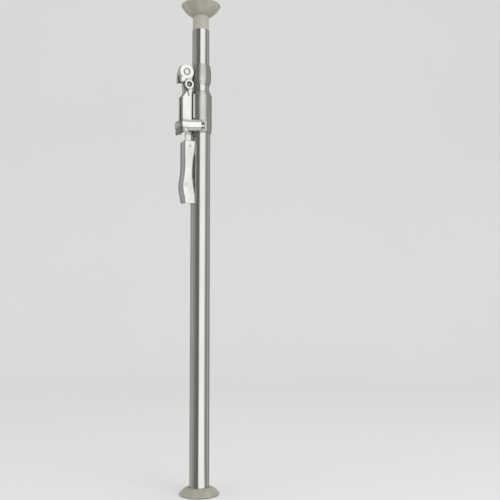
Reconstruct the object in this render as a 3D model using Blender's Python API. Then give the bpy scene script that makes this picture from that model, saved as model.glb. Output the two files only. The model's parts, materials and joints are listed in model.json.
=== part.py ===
"""Floor-to-ceiling telescopic pole with an over-centre jack lever.

The pole stands on the origin along +Z. The lever hangs on the -X side, its pivots lie along Y, and its
near side faces -Y. In the outlines below, reach is the distance from the pole's axis towards -X.
"""

import math

import bmesh
import bpy

MM = 0.001

# Clearances between neighbours
SEAT_GAP = 0.3 * MM
RUNNING_GAP = 0.3 * MM
SIDE_PLAY = 0.3 * MM

# How far a cutter runs past what it cuts, and a root runs into what it joins
OVERSHOOT = 9.0 * MM
ROOT_DEPTH = 5.0 * MM

# Facets
TUBE_STEPS = 40
CUP_STEPS = 40
HIDDEN_STEPS = 32
BOLT_STEPS = 24
PIN_STEPS = 16
CORNER_STEP = math.radians(20)
FILLET_STEP = math.radians(32)

# Tubes
OUTER_TUBE_RADIUS = 22.5 * MM
OUTER_TUBE_WALL = 1.4 * MM
OUTER_BORE = OUTER_TUBE_RADIUS - OUTER_TUBE_WALL
OUTER_TUBE_TOP = 896.5 * MM
TUBE_ROOM_RADIUS = OUTER_TUBE_RADIUS + 2 * RUNNING_GAP
INNER_TUBE_RADIUS = OUTER_BORE - 1.3 * MM
INNER_TUBE_WALL = 1.4 * MM
INNER_BORE = INNER_TUBE_RADIUS - INNER_TUBE_WALL
INNER_TUBE_LENGTH = OUTER_TUBE_TOP - 18.5 * MM
INNER_TUBE_SHOWING = 83.2 * MM
SLIDE_BORE = INNER_TUBE_RADIUS + RUNNING_GAP

# Lower sleeve with its guide bush
SLEEVE_RADIUS = OUTER_TUBE_RADIUS + 3.3 * MM
SLEEVE_LENGTH = 97.5 * MM
SLEEVE_TOP = OUTER_TUBE_TOP + 23.0 * MM
SLEEVE_BOTTOM = SLEEVE_TOP - SLEEVE_LENGTH
SLEEVE_TAPER = 12.0 * MM
SLEEVE_TOE = 1.4 * MM
SLEEVE_CONE = 9.5 * MM
SLEEVE_LIP_WALL = 1.3 * MM
SLEEVE_LIP = 7.5 * MM
BUSH_POCKET_RADIUS = OUTER_TUBE_RADIUS - 0.4 * MM
GLIDE_LENGTH = 14.0 * MM
GLIDE_FLANGE = 3.0 * MM
RAIL_REACH = SLEEVE_RADIUS + 0.3 * MM
RAIL_HALF_WIDTH = 15.0 * MM
RAIL_BOTTOM = SLEEVE_BOTTOM + 31.7 * MM
RAIL_TOP = SLEEVE_TOP - SLEEVE_CONE + 1.0 * MM
RAIL_EDGE = 0.6 * MM
SCREW_RADIUS = 3.0 * MM
SCREW_SUNK = 0.2 * MM
SLEEVE_SCREW_HEIGHTS = {"lower": SLEEVE_BOTTOM + 29.5 * MM, "upper": SLEEVE_BOTTOM + 64.2 * MM}

# Upper collar
COLLAR_RADIUS = SLIDE_BORE + 3.9 * MM
COLLAR_TOP_RADIUS = COLLAR_RADIUS - 1.8 * MM
COLLAR_BOTTOM = SLEEVE_TOP + 23.5 * MM
COLLAR_TOP = COLLAR_BOTTOM + 39.5 * MM
COLLAR_BAND = (9.0 * MM, 24.0 * MM)
COLLAR_SPIGOT = 4.6 * MM
COLLAR_SPIGOT_WALL = 1.1 * MM
RING_BOTTOM = COLLAR_BOTTOM - 8.3 * MM
RING_BOTTOM_RADIUS = SLIDE_BORE + 0.9 * MM
RING_NECK = 2.4 * MM
RING_CONE = 6.8 * MM
TONGUE_ROOT_WALL = 0.9 * MM
PLUNGER_RADIUS = 3.4 * MM

# Rubber cups
INNER_TUBE_TOP = COLLAR_TOP + INNER_TUBE_SHOWING
NECK_SHOWING = 34.0 * MM
CEILING_CONE = 27.0 * MM
POLE_HEIGHT = INNER_TUBE_TOP + SEAT_GAP + NECK_SHOWING + CEILING_CONE
CUP_RADIUS = 45.4 * MM
CUP_FACE_RADIUS = CUP_RADIUS - 1.7 * MM
CUP_RIM = 4.6 * MM
CUP_RIM_CROWN = 0.2 * MM
CUP_FULLNESS = 0.45
FOOT_CONE = 17.5 * MM
FOOT_CONE_EDGE = 1.2 * MM
FOOT_SOCKET_FLOOR = 8.0 * MM
FOOT_LIP = 2.2 * MM
CEILING_NECK_RADIUS = INNER_TUBE_RADIUS - 1.2 * MM
CEILING_NECK_STEP = 1.6 * MM
SPIGOT_LENGTH = 33.0 * MM
SPIGOT_WALL = 5.8 * MM
CORE_WALL = 5.5 * MM
CORE_FLANGE = 3.0 * MM
TREAD_DEPTH = 1.2 * MM
TREAD_WIDTH = 2.4 * MM
TREAD_RADII = (CUP_FACE_RADIUS - 9.7 * MM,)

# Pins, and the eyes and heads that depend on them
PIVOT_PIN_RADIUS = 6.2 * MM
PIVOT_PIN_CHAMFER = 0.7 * MM
PIVOT_PIN_SUNK = 0.8 * MM
PIVOT_PIN_TAIL = 1.2 * MM
PIVOT_RECESS_RADIUS = PIVOT_PIN_RADIUS + 2.4 * MM
PIVOT_RECESS_DEPTH = 2.4 * MM
TONGUE_EYE_RADIUS = PIVOT_PIN_RADIUS + 4.8 * MM
HEAD_RADIUS = TONGUE_EYE_RADIUS + 6.8 * MM
CLIP_THICKNESS = 1.1 * MM
CLIP_WIDTH = 2.6 * MM
BOLT_RADIUS = 4.0 * MM
BOLT_FLANGE_RADIUS = BOLT_RADIUS + 7.0 * MM
BOLT_FLANGE_HEIGHT = 3.2 * MM
BOLT_CHAMFER = 0.9 * MM
BOLT_SOCKET_RADIUS = BOLT_RADIUS + 1.6 * MM
BOLT_SOCKET_DEPTH = 2.0 * MM
WASHER_THICKNESS = 0.8 * MM
WASHER_RADIUS = BOLT_FLANGE_RADIUS - 1.4 * MM
SPRING_WIRE = 0.6 * MM
SPRING_RADIUS = BOLT_RADIUS + 2.2 * MM
SPRING_PITCH = 1.75 * MM
SPRING_TURNS = 2
SPRING_POINTS = 10
FOOT_PIN_RADIUS = 2.5 * MM
FOOT_SLOT_PLAY = 1.7 * MM
FOOT_SLOT_RISE = 4.8 * MM
FOOT_SLOT_SHIFT = 0.5 * MM
LUG_HALF_WIDTH = 1.9 * MM
LUG_RADIUS = FOOT_PIN_RADIUS + 3.9 * MM
LUG_HAUNCH = 14.0 * MM
LINK_FOOT_RADIUS = FOOT_PIN_RADIUS + 4.5 * MM
LINK_EYE_RADIUS = BOLT_RADIUS + 4.0 * MM
LINK_HALF_WIDTH = 5.0 * MM
LINK_CROTCH_RISE = 17.0 * MM

# Lever, and the pivots of its linkage: (reach, height)
SLOT_HALF_WIDTH = 5.5 * MM
SLOT_FILL_HALF_WIDTH = SLOT_HALF_WIDTH - SIDE_PLAY
ARM_HALF_WIDTH = SLOT_HALF_WIDTH + 5.6 * MM
ARM_INNER_REACH = RAIL_REACH + 0.7 * MM
ARM_OUTER_REACH = ARM_INNER_REACH + 23.8 * MM
ARM_WAIST_REACH = ARM_INNER_REACH + 15.7 * MM
LEVER_PIVOT = (ARM_INNER_REACH + 15.2 * MM, COLLAR_BOTTOM + 17.0 * MM)
LINK_TOP = (LEVER_PIVOT[0] - 4.0 * MM, LEVER_PIVOT[1] - 29.8 * MM)
LINK_FOOT = (SLEEVE_RADIUS + 11.2 * MM, SLEEVE_BOTTOM + 14.2 * MM)
ARM_SHOULDER = (LEVER_PIVOT[1] - 57.6 * MM, LEVER_PIVOT[1] - 47.3 * MM)
HEAD_HALF_WIDTH = ARM_HALF_WIDTH + 4.4 * MM
HEAD_EDGE = 1.4 * MM
HOOD_REACH = LEVER_PIVOT[0] + 13.0 * MM
HOOD_BOTTOM = LEVER_PIVOT[1] - 23.9 * MM
CROSSHEAD_TOP = LINK_FOOT[1] - LINK_FOOT_RADIUS - 1.3 * MM
CROSSHEAD = (CROSSHEAD_TOP - 7.4 * MM, CROSSHEAD_TOP)
EDGE = 1.0 * MM
PIVOT_BOSS_RISE = 0.6 * MM
BOSS_STEP = 0.5 * MM

# Bar and grip
BAR_HALF_WIDTH = 2.9 * MM
BAR_REACH = (ARM_INNER_REACH - 0.4 * MM, ARM_INNER_REACH + 11.6 * MM)
BAR_PIN_RADIUS = 1.8 * MM
BAR_TANG = 27.0 * MM
PIN_CHAMFER = 0.3 * MM
GRIP_LENGTH = 144.8 * MM
GRIP_TOP = CROSSHEAD[0] - 17.9 * MM
GRIP_BOTTOM = GRIP_TOP - GRIP_LENGTH
GRIP_HALF_WIDTH = HEAD_HALF_WIDTH
GRIP_REACH = ARM_OUTER_REACH - 5.1 * MM
GRIP_SWELL = 4.8 * MM
GRIP_SWELL_HEIGHT = GRIP_BOTTOM + 0.252 * GRIP_LENGTH
GRIP_SWELL_SPAN = (0.2 * GRIP_LENGTH, 0.32 * GRIP_LENGTH)
GRIP_EDGE = 4.4 * MM
GRIP_WALL = 3.2 * MM
GRIP_CORNER = 6.0 * MM
# Cheeks of the grip, top to bottom: (depth from its back, share of its length)
GRIP_CHEEKS = (
    (25.3 * MM, 0.068),
    (23.1 * MM, 0.190),
    (20.3 * MM, 0.290),
    (18.4 * MM, 0.455),
    (18.0 * MM, 0.557),
    (19.7 * MM, 0.672),
    (23.1 * MM, 0.800),
    (25.3 * MM, 0.885),
)
GRIP_SCREW = (GRIP_REACH - 4.3 * MM, GRIP_BOTTOM + 0.290 * GRIP_LENGTH)
GRIP_SCREW_RADIUS = 1.8 * MM
GRIP_SCREW_HEAD = 3.4 * MM
GRIP_SCREW_SINK = 1.2 * MM
GRIP_SCREW_SUNK = 0.3 * MM
BUMPER_HEIGHTS = (GRIP_SCREW[1] - 14.0 * MM, GRIP_SCREW[1] + 12.0 * MM)

# Safety catch: a yoke round the lever whose hooks enter two keepers on the sleeve
KEEPER_HALF_WIDTH = SLEEVE_RADIUS + 4.8 * MM
KEEPER_HEIGHTS = (LINK_FOOT[1] - 12.2 * MM, LINK_FOOT[1] + 12.6 * MM)
KEEPER_REACH = (-2.0 * MM, 4.4 * MM, 11.5 * MM)
KEEPER_JAWS = (5.0 * MM, 5.8 * MM)
KEEPER_TOOTH = (9.0 * MM, KEEPER_HEIGHTS[1] - 9.6 * MM)
KEEPER_PLAY = 0.8 * MM
LATCH_PIVOT = (ARM_OUTER_REACH - 4.0 * MM, CROSSHEAD[0] + 4.0 * MM)
YOKE_HEIGHTS = (KEEPER_HEIGHTS[0] - 0.6 * MM, KEEPER_HEIGHTS[1] - 0.6 * MM)
YOKE_RIB_HEIGHTS = (YOKE_HEIGHTS[0] + 7.8 * MM, YOKE_HEIGHTS[0] + 19.3 * MM)
YOKE_RIB_RISE = 0.9 * MM
YOKE_NOSE_BOTTOM = YOKE_HEIGHTS[0] - 7.4 * MM
YOKE_HOOK_REACH = KEEPER_REACH[1] + 0.5 * MM
YOKE_NOTCH = 2.2 * MM
YOKE_NOTCH_REACH = YOKE_HOOK_REACH + 14.1 * MM
THUMB_HEIGHTS = (YOKE_HEIGHTS[0] + 3.0 * MM, YOKE_HEIGHTS[0] + 19.4 * MM)
THUMB_RADIUS = 15.5 * MM
THUMB_DEPTH = 3.5 * MM
LATCH_PIN_RADIUS = 2.0 * MM
LATCH_PIN_HEAD = (3.4 * MM, 1.2 * MM)
LATCH_WASHER_WIDTH = 1.8 * MM
# The yoke in plan, near half from the hook to the nose: (reach, across)
YOKE_OUTSIDE = (
    (YOKE_HOOK_REACH, KEEPER_HALF_WIDTH - 0.6 * MM),
    (YOKE_HOOK_REACH + 8.1 * MM, KEEPER_HALF_WIDTH - 0.6 * MM),
    (ARM_OUTER_REACH - 9.1 * MM, ARM_HALF_WIDTH + 8.1 * MM),
    (ARM_OUTER_REACH, ARM_HALF_WIDTH + 7.5 * MM),
    (ARM_OUTER_REACH + 3.9 * MM, ARM_HALF_WIDTH + 5.1 * MM),
    (ARM_OUTER_REACH + 7.3 * MM, ARM_HALF_WIDTH + 0.9 * MM),
    (ARM_OUTER_REACH + 9.2 * MM, 0.6 * ARM_HALF_WIDTH),
    (ARM_OUTER_REACH + 9.9 * MM, 0.0),
)
YOKE_INSIDE = (
    (YOKE_HOOK_REACH, KEEPER_HALF_WIDTH - 3.4 * MM),
    (YOKE_HOOK_REACH + 7.7 * MM, KEEPER_HALF_WIDTH - 3.4 * MM),
    (ARM_OUTER_REACH - 9.6 * MM, ARM_HALF_WIDTH + 5.3 * MM),
    (ARM_OUTER_REACH + 0.6 * MM, ARM_HALF_WIDTH + 4.7 * MM),
    (ARM_OUTER_REACH + 0.6 * MM, 0.0),
)


def clear_scene():
    for obj in list(bpy.data.objects):
        bpy.data.objects.remove(obj, do_unlink=True)


def finish(name, colour, roughness, metallic):
    """A plain Principled material."""
    made = bpy.data.materials.new(name)
    made.use_nodes = True
    shader = made.node_tree.nodes["Principled BSDF"]
    shader.inputs["Base Color"].default_value = (*colour, 1.0)
    shader.inputs["Roughness"].default_value = roughness
    shader.inputs["Metallic"].default_value = metallic
    return made


def place(name, shape, material):
    """Turns a bmesh into a named object with its faces pointing out and its round faces smooth."""
    bmesh.ops.recalc_face_normals(shape, faces=shape.faces)
    mesh = bpy.data.meshes.new(name)
    shape.to_mesh(mesh)
    shape.free()
    mesh.shade_smooth()
    mesh.set_sharp_from_angle(angle=math.radians(34))
    if material:
        mesh.materials.append(material)
    obj = bpy.data.objects.new(name, mesh)
    bpy.context.scene.collection.objects.link(obj)
    return obj


def arc(centre, radius, start, end, step=CORNER_STEP):
    """Points along a circle, from one angle in degrees to another."""
    radii = radius if isinstance(radius, tuple) else (radius, radius)
    first, last = math.radians(start), math.radians(end)
    count = max(2, math.ceil(abs(last - first) / step))
    turns = [first + (last - first) * index / count for index in range(count + 1)]
    points = []
    for turn in turns:
        points.append((centre[0] + radii[0] * math.cos(turn), centre[1] + radii[1] * math.sin(turn)))
    return points


def rounded(corners):
    """A closed outline: each corner is (across, up) or (across, up, fillet radius)."""
    points = []
    for index, corner in enumerate(corners):
        if len(corner) == 2:
            points.append(corner)
            continue
        x, y, radius = corner
        before, after = corners[index - 1], corners[(index + 1) % len(corners)]
        back = math.atan2(before[1] - y, before[0] - x)
        ahead = math.atan2(after[1] - y, after[0] - x)
        opening = (ahead - back + math.pi) % (2 * math.pi) - math.pi
        setback = radius / math.tan(abs(opening) / 2)
        middle = back + opening / 2
        depth = math.hypot(setback, radius)
        centre = (x + depth * math.cos(middle), y + depth * math.sin(middle))
        touch = (x + setback * math.cos(back), y + setback * math.sin(back))
        first = math.atan2(touch[1] - centre[1], touch[0] - centre[0])
        sweep = -math.copysign(math.pi - abs(opening), opening)
        count = max(2, math.ceil(abs(sweep) / FILLET_STEP))
        for stop in range(count + 1):
            turn = first + sweep * stop / count
            points.append((centre[0] + radius * math.cos(turn), centre[1] + radius * math.sin(turn)))
    return points


def inset(outline, distance):
    """The outline moved inwards by a distance."""
    area = sum(a[0] * b[1] - b[0] * a[1] for a, b in zip(outline, outline[1:] + outline[:1]))
    side = 1 if area > 0 else -1
    moved = []
    for index, (x, y) in enumerate(outline):
        before, after = outline[index - 1], outline[(index + 1) % len(outline)]
        in_length = math.hypot(x - before[0], y - before[1])
        out_length = math.hypot(after[0] - x, after[1] - y)
        first = (-(y - before[1]) / in_length * side, (x - before[0]) / in_length * side)
        second = (-(after[1] - y) / out_length * side, (after[0] - x) / out_length * side)
        scale = distance / (1 + first[0] * second[0] + first[1] * second[1])
        moved.append((x + (first[0] + second[0]) * scale, y + (first[1] + second[1]) * scale))
    return moved


def stack(name, layers, material):
    """A solid through matching loops of points, with a cap on each end."""
    shape = bmesh.new()
    loops = [[shape.verts.new(point) for point in layer] for layer in layers]
    for lower, upper in zip(loops, loops[1:]):
        for index in range(len(lower)):
            following = (index + 1) % len(lower)
            shape.faces.new((lower[index], lower[following], upper[following], upper[index]))
    shape.faces.new(loops[0])
    shape.faces.new(loops[-1])
    return place(name, shape, material)


def edge_layers(near, far, edge, steps):
    """(position, inset) through a thickness whose edges are rounded off by an edge radius."""
    if not edge:
        return [(near, 0.0), (far, 0.0)]
    layers = []
    for index in range(steps + 1):
        turn = math.pi / 2 * index / steps
        layers.append((far - edge * (1 - math.sin(turn)), edge * (1 - math.cos(turn))))
    return [(near + far - across, cut) for across, cut in reversed(layers)] + layers


def plate(name, outline, near, far, material=None, edge=0.0, steps=1):
    """A (reach, height) outline as a plate between two places along Y."""
    layers = []
    for across, smaller in edge_layers(near, far, edge, steps):
        loop = inset(outline, smaller) if smaller else outline
        layers.append([(-reach, across, height) for reach, height in loop])
    return stack(name, layers, material)


def slab(name, outline, bottom, top, material=None):
    """A (reach, across) outline as a slab between two heights."""
    layers = [[(-reach, across, height) for reach, across in outline] for height in (bottom, top)]
    return stack(name, layers, material)


def turned(name, profile, material=None, steps=TUBE_STEPS, pivot=None):
    """A closed (radius, along) profile turned about the pole's axis, or about a pivot along Y."""
    shape = bmesh.new()
    rings = []
    for radius, along in profile:
        count = 1 if radius < 1e-7 else steps
        ring = []
        for index in range(count):
            turn = 2 * math.pi * index / steps
            side, rise = radius * math.cos(turn), radius * math.sin(turn)
            if pivot:
                ring.append(shape.verts.new((side - pivot[0], along, rise + pivot[1])))
            else:
                ring.append(shape.verts.new((side, rise, along)))
        rings.append(ring)
    for ring, following in zip(rings, rings[1:] + rings[:1]):
        if len(ring) == len(following) == 1:
            continue
        for index in range(steps):
            ahead = index + 1
            corners = (
                ring[index % len(ring)],
                ring[ahead % len(ring)],
                following[ahead % len(following)],
                following[index % len(following)],
            )
            shape.faces.new(list(dict.fromkeys(corners)))
    return place(name, shape, material)


def pin(name, pivot, radius, near, far, material=None, edge=0.0, steps=PIN_STEPS):
    """A round pin along Y."""
    profile = [(0, near), (radius - edge, near)]
    if edge:
        profile += [(radius, near + edge), (radius, far - edge)]
    profile += [(radius - edge, far), (0, far)]
    return turned(name, profile, material, steps, pivot)


def ring_along_pivot(name, pivot, bore, radius, near, far, material):
    profile = [(bore, near), (radius, near), (radius, far), (bore, far)]
    return turned(name, profile, material, PIN_STEPS, pivot)


def combine(obj, operation, *tools):
    """Boolean modifiers with hidden helpers."""
    for tool in tools:
        modifier = obj.modifiers.new(operation.title(), "BOOLEAN")
        modifier.operation = operation
        modifier.object = tool
        modifier.solver = "EXACT"
        tool.hide_render = True
        tool.display_type = "WIRE"


def weld(obj, *tools):
    combine(obj, "UNION", *tools)


def cut(obj, *tools):
    combine(obj, "DIFFERENCE", *tools)


def keep_inside(obj, *tools):
    combine(obj, "INTERSECT", *tools)


def carried(group, *pieces):
    """Parents pieces to the empty that stands on their joint's axis."""
    for piece in pieces:
        piece.parent = group
        piece.matrix_parent_inverse = group.matrix_world.inverted()


def joint_empty(name, reach, height):
    empty = bpy.data.objects.new(name, None)
    empty.location = (-reach, 0, height)
    bpy.context.scene.collection.objects.link(empty)
    bpy.context.view_layer.update()
    return empty


def tread(face, inwards):
    """Ring grooves in a cup's flat face, as profile points from the outside in."""
    points = []
    for radius in sorted(TREAD_RADII, reverse=True):
        outer, inner = radius + TREAD_WIDTH / 2, radius - TREAD_WIDTH / 2
        floor = face + inwards * TREAD_DEPTH
        slope = TREAD_WIDTH / 4
        points += [(outer, face), (outer - slope, floor), (inner + slope, floor), (inner, face)]
    return points


def dished(throat, rim):
    """A cup's bulging wall from its throat to its rim: partway between a cone and a quarter ellipse."""
    ellipse = arc((throat[0], rim[1]), (rim[0] - throat[0], throat[1] - rim[1]), 90, 0)
    points = []
    for (curved, high), (straight, rise) in zip(ellipse, chord(ellipse)):
        reach = straight + (curved - straight) * CUP_FULLNESS
        points.append((reach, rise + (high - rise) * CUP_FULLNESS))
    return points


def foot_cup(rubber):
    """Rubber foot: a thin disc whose cone closes round the outer tube, with a spigot up its bore."""
    tube_seat = OUTER_TUBE_RADIUS + SEAT_GAP
    spigot = OUTER_BORE - SEAT_GAP
    cone_radius = tube_seat + FOOT_LIP
    spigot_top = FOOT_SOCKET_FLOOR + SPIGOT_LENGTH
    core = spigot - SPIGOT_WALL
    profile = [(0, 0)]
    profile += list(reversed(tread(0, 1)))
    profile += [(CUP_FACE_RADIUS, 0)]
    profile += [(CUP_RADIUS - CUP_RIM_CROWN, CUP_RIM * 0.3), (CUP_RADIUS, CUP_RIM * 0.6)]
    throat = (cone_radius + FOOT_CONE_EDGE, FOOT_CONE - FOOT_CONE_EDGE / 2)
    profile += reversed(dished(throat, (CUP_FACE_RADIUS, CUP_RIM)))
    profile += [(cone_radius, FOOT_CONE)]
    profile += [(tube_seat, FOOT_CONE), (tube_seat, FOOT_SOCKET_FLOOR)]
    profile += [(spigot, FOOT_SOCKET_FLOOR), (spigot, spigot_top), (core, spigot_top)]
    profile += [(core, FOOT_SOCKET_FLOOR), (0, FOOT_SOCKET_FLOOR)]
    return turned("foot_cup", profile, rubber, CUP_STEPS)


def foot_plug(plastic):
    """Hard core that stiffens the foot's spigot."""
    spigot = OUTER_BORE - SEAT_GAP
    core = spigot - SPIGOT_WALL - SEAT_GAP
    bottom = FOOT_SOCKET_FLOOR + SEAT_GAP
    flange = FOOT_SOCKET_FLOOR + SPIGOT_LENGTH + SEAT_GAP
    top = flange + CORE_FLANGE
    profile = [(0, bottom), (core, bottom), (core, flange), (spigot, flange), (spigot, top)]
    profile += [(core - CORE_WALL, top), (core - CORE_WALL, bottom + CORE_WALL), (0, bottom + CORE_WALL)]
    return turned("foot_plug", profile, plastic, HIDDEN_STEPS)


def ceiling_cup(rubber):
    """Rubber ceiling cup on its own neck, with a spigot down the inner tube."""
    top = POLE_HEIGHT
    neck_top = top - CEILING_CONE
    neck_bottom = INNER_TUBE_TOP + SEAT_GAP
    spigot = INNER_BORE - SEAT_GAP
    core = spigot - SPIGOT_WALL
    spigot_bottom = neck_bottom - SPIGOT_LENGTH
    throat = (CEILING_NECK_RADIUS + CEILING_NECK_STEP, neck_top)
    inner_wall = neck_top + 0.5 * CEILING_CONE
    profile = [(0, inner_wall), (core, inner_wall), (core, spigot_bottom), (spigot, spigot_bottom)]
    profile += [(spigot, neck_bottom), (CEILING_NECK_RADIUS, neck_bottom), (CEILING_NECK_RADIUS, neck_top)]
    profile += dished(throat, (CUP_FACE_RADIUS, top - CUP_RIM))
    profile += [(CUP_RADIUS, top - CUP_RIM * 0.6), (CUP_RADIUS - CUP_RIM_CROWN, top - CUP_RIM * 0.3)]
    profile += [(CUP_FACE_RADIUS, top)]
    profile += tread(top, -1)
    profile += [(0, top)]
    return turned("ceiling_cup", profile, rubber, CUP_STEPS)


def chord(points):
    """Evenly spaced points on the straight line between the ends of a run of points."""
    (x0, y0), (x1, y1) = points[0], points[-1]
    last = len(points) - 1
    return [(x0 + (x1 - x0) * index / last, y0 + (y1 - y0) * index / last) for index in range(last + 1)]


def ceiling_plug(plastic):
    """Hard core that stiffens the ceiling cup's neck."""
    spigot = INNER_BORE - SEAT_GAP
    core = spigot - SPIGOT_WALL - SEAT_GAP
    flange = INNER_TUBE_TOP + SEAT_GAP - SPIGOT_LENGTH - SEAT_GAP
    top = POLE_HEIGHT - 0.5 * CEILING_CONE - SEAT_GAP
    bottom = flange - CORE_FLANGE
    profile = [(0, top), (core, top), (core, flange), (spigot, flange), (spigot, bottom)]
    profile += [(core - CORE_WALL, bottom), (core - CORE_WALL, top - CORE_WALL), (0, top - CORE_WALL)]
    return turned("ceiling_plug", profile, plastic, HIDDEN_STEPS)


def tube(name, radius, wall, bottom, top, material):
    profile = [(radius - wall, bottom), (radius, bottom), (radius, top), (radius - wall, top)]
    return turned(name, profile, material)


def tube_glide(plastic):
    """Plastic shoe on the inner tube's foot: it centres the tube and stops it at the sleeve's bush."""
    bottom = INNER_TUBE_TOP - INNER_TUBE_LENGTH
    spigot = INNER_BORE - SEAT_GAP
    flange_top = bottom - SEAT_GAP
    flange_bottom = flange_top - GLIDE_FLANGE
    rim = OUTER_BORE - RUNNING_GAP
    bore = spigot - INNER_TUBE_WALL * 2
    profile = [(bore, flange_bottom), (rim, flange_bottom), (rim, flange_top), (spigot, flange_top)]
    profile += [(spigot, flange_top + GLIDE_LENGTH), (bore, flange_top + GLIDE_LENGTH)]
    return turned("tube_glide", profile, plastic, HIDDEN_STEPS)


def eye_outline(pivot, radius, root):
    """An eye on a straight root: root is two (reach, height) points, lower then upper."""
    lower, upper = root
    return [lower] + arc(pivot, radius, -100, 100) + [upper]


def keeper_outline():
    """C-shaped keeper with a tooth on its upper jaw."""
    back, throat, front = KEEPER_REACH
    bottom, top = KEEPER_HEIGHTS
    lower_jaw, upper_jaw = KEEPER_JAWS
    tooth_reach, tooth_bottom = KEEPER_TOOTH
    return rounded(
        [
            (back, bottom, 2 * MM),
            (front, bottom, 1 * MM),
            (front, bottom + lower_jaw, 1 * MM),
            (throat, bottom + lower_jaw),
            (throat, top - upper_jaw),
            (tooth_reach, top - upper_jaw),
            (tooth_reach, tooth_bottom),
            (front, tooth_bottom),
            (front, top, 1 * MM),
            (back, top, 2 * MM),
        ]
    )


def sleeve(alloy):
    """Sleeve on the outer tube, with the lever's rail, the link's lug and the catch's two keepers."""
    toe = SLEEVE_RADIUS - SLEEVE_TOE
    profile = [(0, SLEEVE_BOTTOM), (toe, SLEEVE_BOTTOM), (SLEEVE_RADIUS, SLEEVE_BOTTOM + SLEEVE_TAPER)]
    lip = SLIDE_BORE + RUNNING_GAP
    profile += [(SLEEVE_RADIUS, SLEEVE_TOP - SLEEVE_CONE), (lip + SLEEVE_LIP_WALL, SLEEVE_TOP)]
    profile += [(0, SLEEVE_TOP)]
    body = turned("sleeve", profile, alloy)
    rail_inner = OUTER_TUBE_RADIUS - 2 * ROOT_DEPTH
    rail_points = [(rail_inner, RAIL_BOTTOM), (RAIL_REACH, RAIL_BOTTOM), (RAIL_REACH, RAIL_TOP)]
    rail_points += [(rail_inner, RAIL_TOP)]
    rail = plate("rail_solid", rail_points, -RAIL_HALF_WIDTH, RAIL_HALF_WIDTH, edge=RAIL_EDGE)
    lug_root = SLEEVE_RADIUS - ROOT_DEPTH
    lug_points = eye_outline(
        LINK_FOOT,
        LUG_RADIUS,
        [(lug_root, LINK_FOOT[1] - LUG_RADIUS), (lug_root, LINK_FOOT[1] + LUG_HAUNCH)],
    )
    lug = plate("lug_solid", lug_points, -LUG_HALF_WIDTH, LUG_HALF_WIDTH)
    half = KEEPER_HALF_WIDTH
    keepers = plate("keeper_solid", keeper_outline(), -half, half, edge=0.7 * MM)
    weld(body, rail, lug, keepers)
    tube_seat = OUTER_TUBE_RADIUS + SEAT_GAP
    tube_end = OUTER_TUBE_TOP + SEAT_GAP
    bore = [(0, SLEEVE_BOTTOM - EDGE), (tube_seat, SLEEVE_BOTTOM - EDGE), (tube_seat, tube_end)]
    bore += [(BUSH_POCKET_RADIUS, tube_end), (BUSH_POCKET_RADIUS, SLEEVE_TOP - SLEEVE_LIP)]
    bore += [(lip, SLEEVE_TOP - SLEEVE_LIP), (lip, SLEEVE_TOP + EDGE), (0, SLEEVE_TOP + EDGE)]
    cut(body, turned("sleeve_bore", bore))
    cut(body, pin("lug_hole", LINK_FOOT, FOOT_PIN_RADIUS + SEAT_GAP, -OVERSHOOT, OVERSHOOT))
    for where, height in SLEEVE_SCREW_HEIGHTS.items():
        hole = back_screw_solid(f"screw_hole_{where}", SCREW_RADIUS + SEAT_GAP, height, 0, 2 * SLEEVE_RADIUS)
        cut(body, hole)
    return body


def back_screw_solid(name, radius, height, start, end, material=None, socket=0.0):
    """A round piece along +X, on the side away from the lever."""
    shape = bmesh.new()
    stations = [(0, start), (radius, start), (radius, end), (socket, end)]
    stations += [(socket, end - socket * 0.8), (0, end - socket * 0.8)] if socket else []
    rings = []
    for reach, along in stations:
        count = PIN_STEPS if reach > 1e-7 else 1
        turns = [2 * math.pi * index / PIN_STEPS for index in range(count)]
        points = [(along, reach * math.cos(turn), height + reach * math.sin(turn)) for turn in turns]
        rings.append([shape.verts.new(point) for point in points])
    for ring, following in zip(rings, rings[1:]):
        for index in range(PIN_STEPS):
            ahead = index + 1
            corners = (
                ring[index % len(ring)],
                ring[ahead % len(ring)],
                following[ahead % len(following)],
                following[index % len(following)],
            )
            shape.faces.new(list(dict.fromkeys(corners)))
    return place(name, shape, material)


def sleeve_screw(where, height, steel):
    """Grub screw that holds the sleeve to the outer tube."""
    start = OUTER_TUBE_RADIUS + SEAT_GAP
    end = SLEEVE_RADIUS - SCREW_SUNK
    name = f"sleeve_screw_{where}"
    return back_screw_solid(name, SCREW_RADIUS, height, start, end, steel, SCREW_RADIUS / 2)


def sleeve_bush(plastic):
    """Plastic guide for the inner tube, held between the outer tube's end and the sleeve's lip."""
    bottom = OUTER_TUBE_TOP + 2 * SEAT_GAP
    top = SLEEVE_TOP - SLEEVE_LIP - SEAT_GAP
    outside = BUSH_POCKET_RADIUS - SEAT_GAP
    profile = [(SLIDE_BORE, bottom), (outside, bottom), (outside, top), (SLIDE_BORE, top)]
    return turned("sleeve_bush", profile, plastic, HIDDEN_STEPS)


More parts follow.
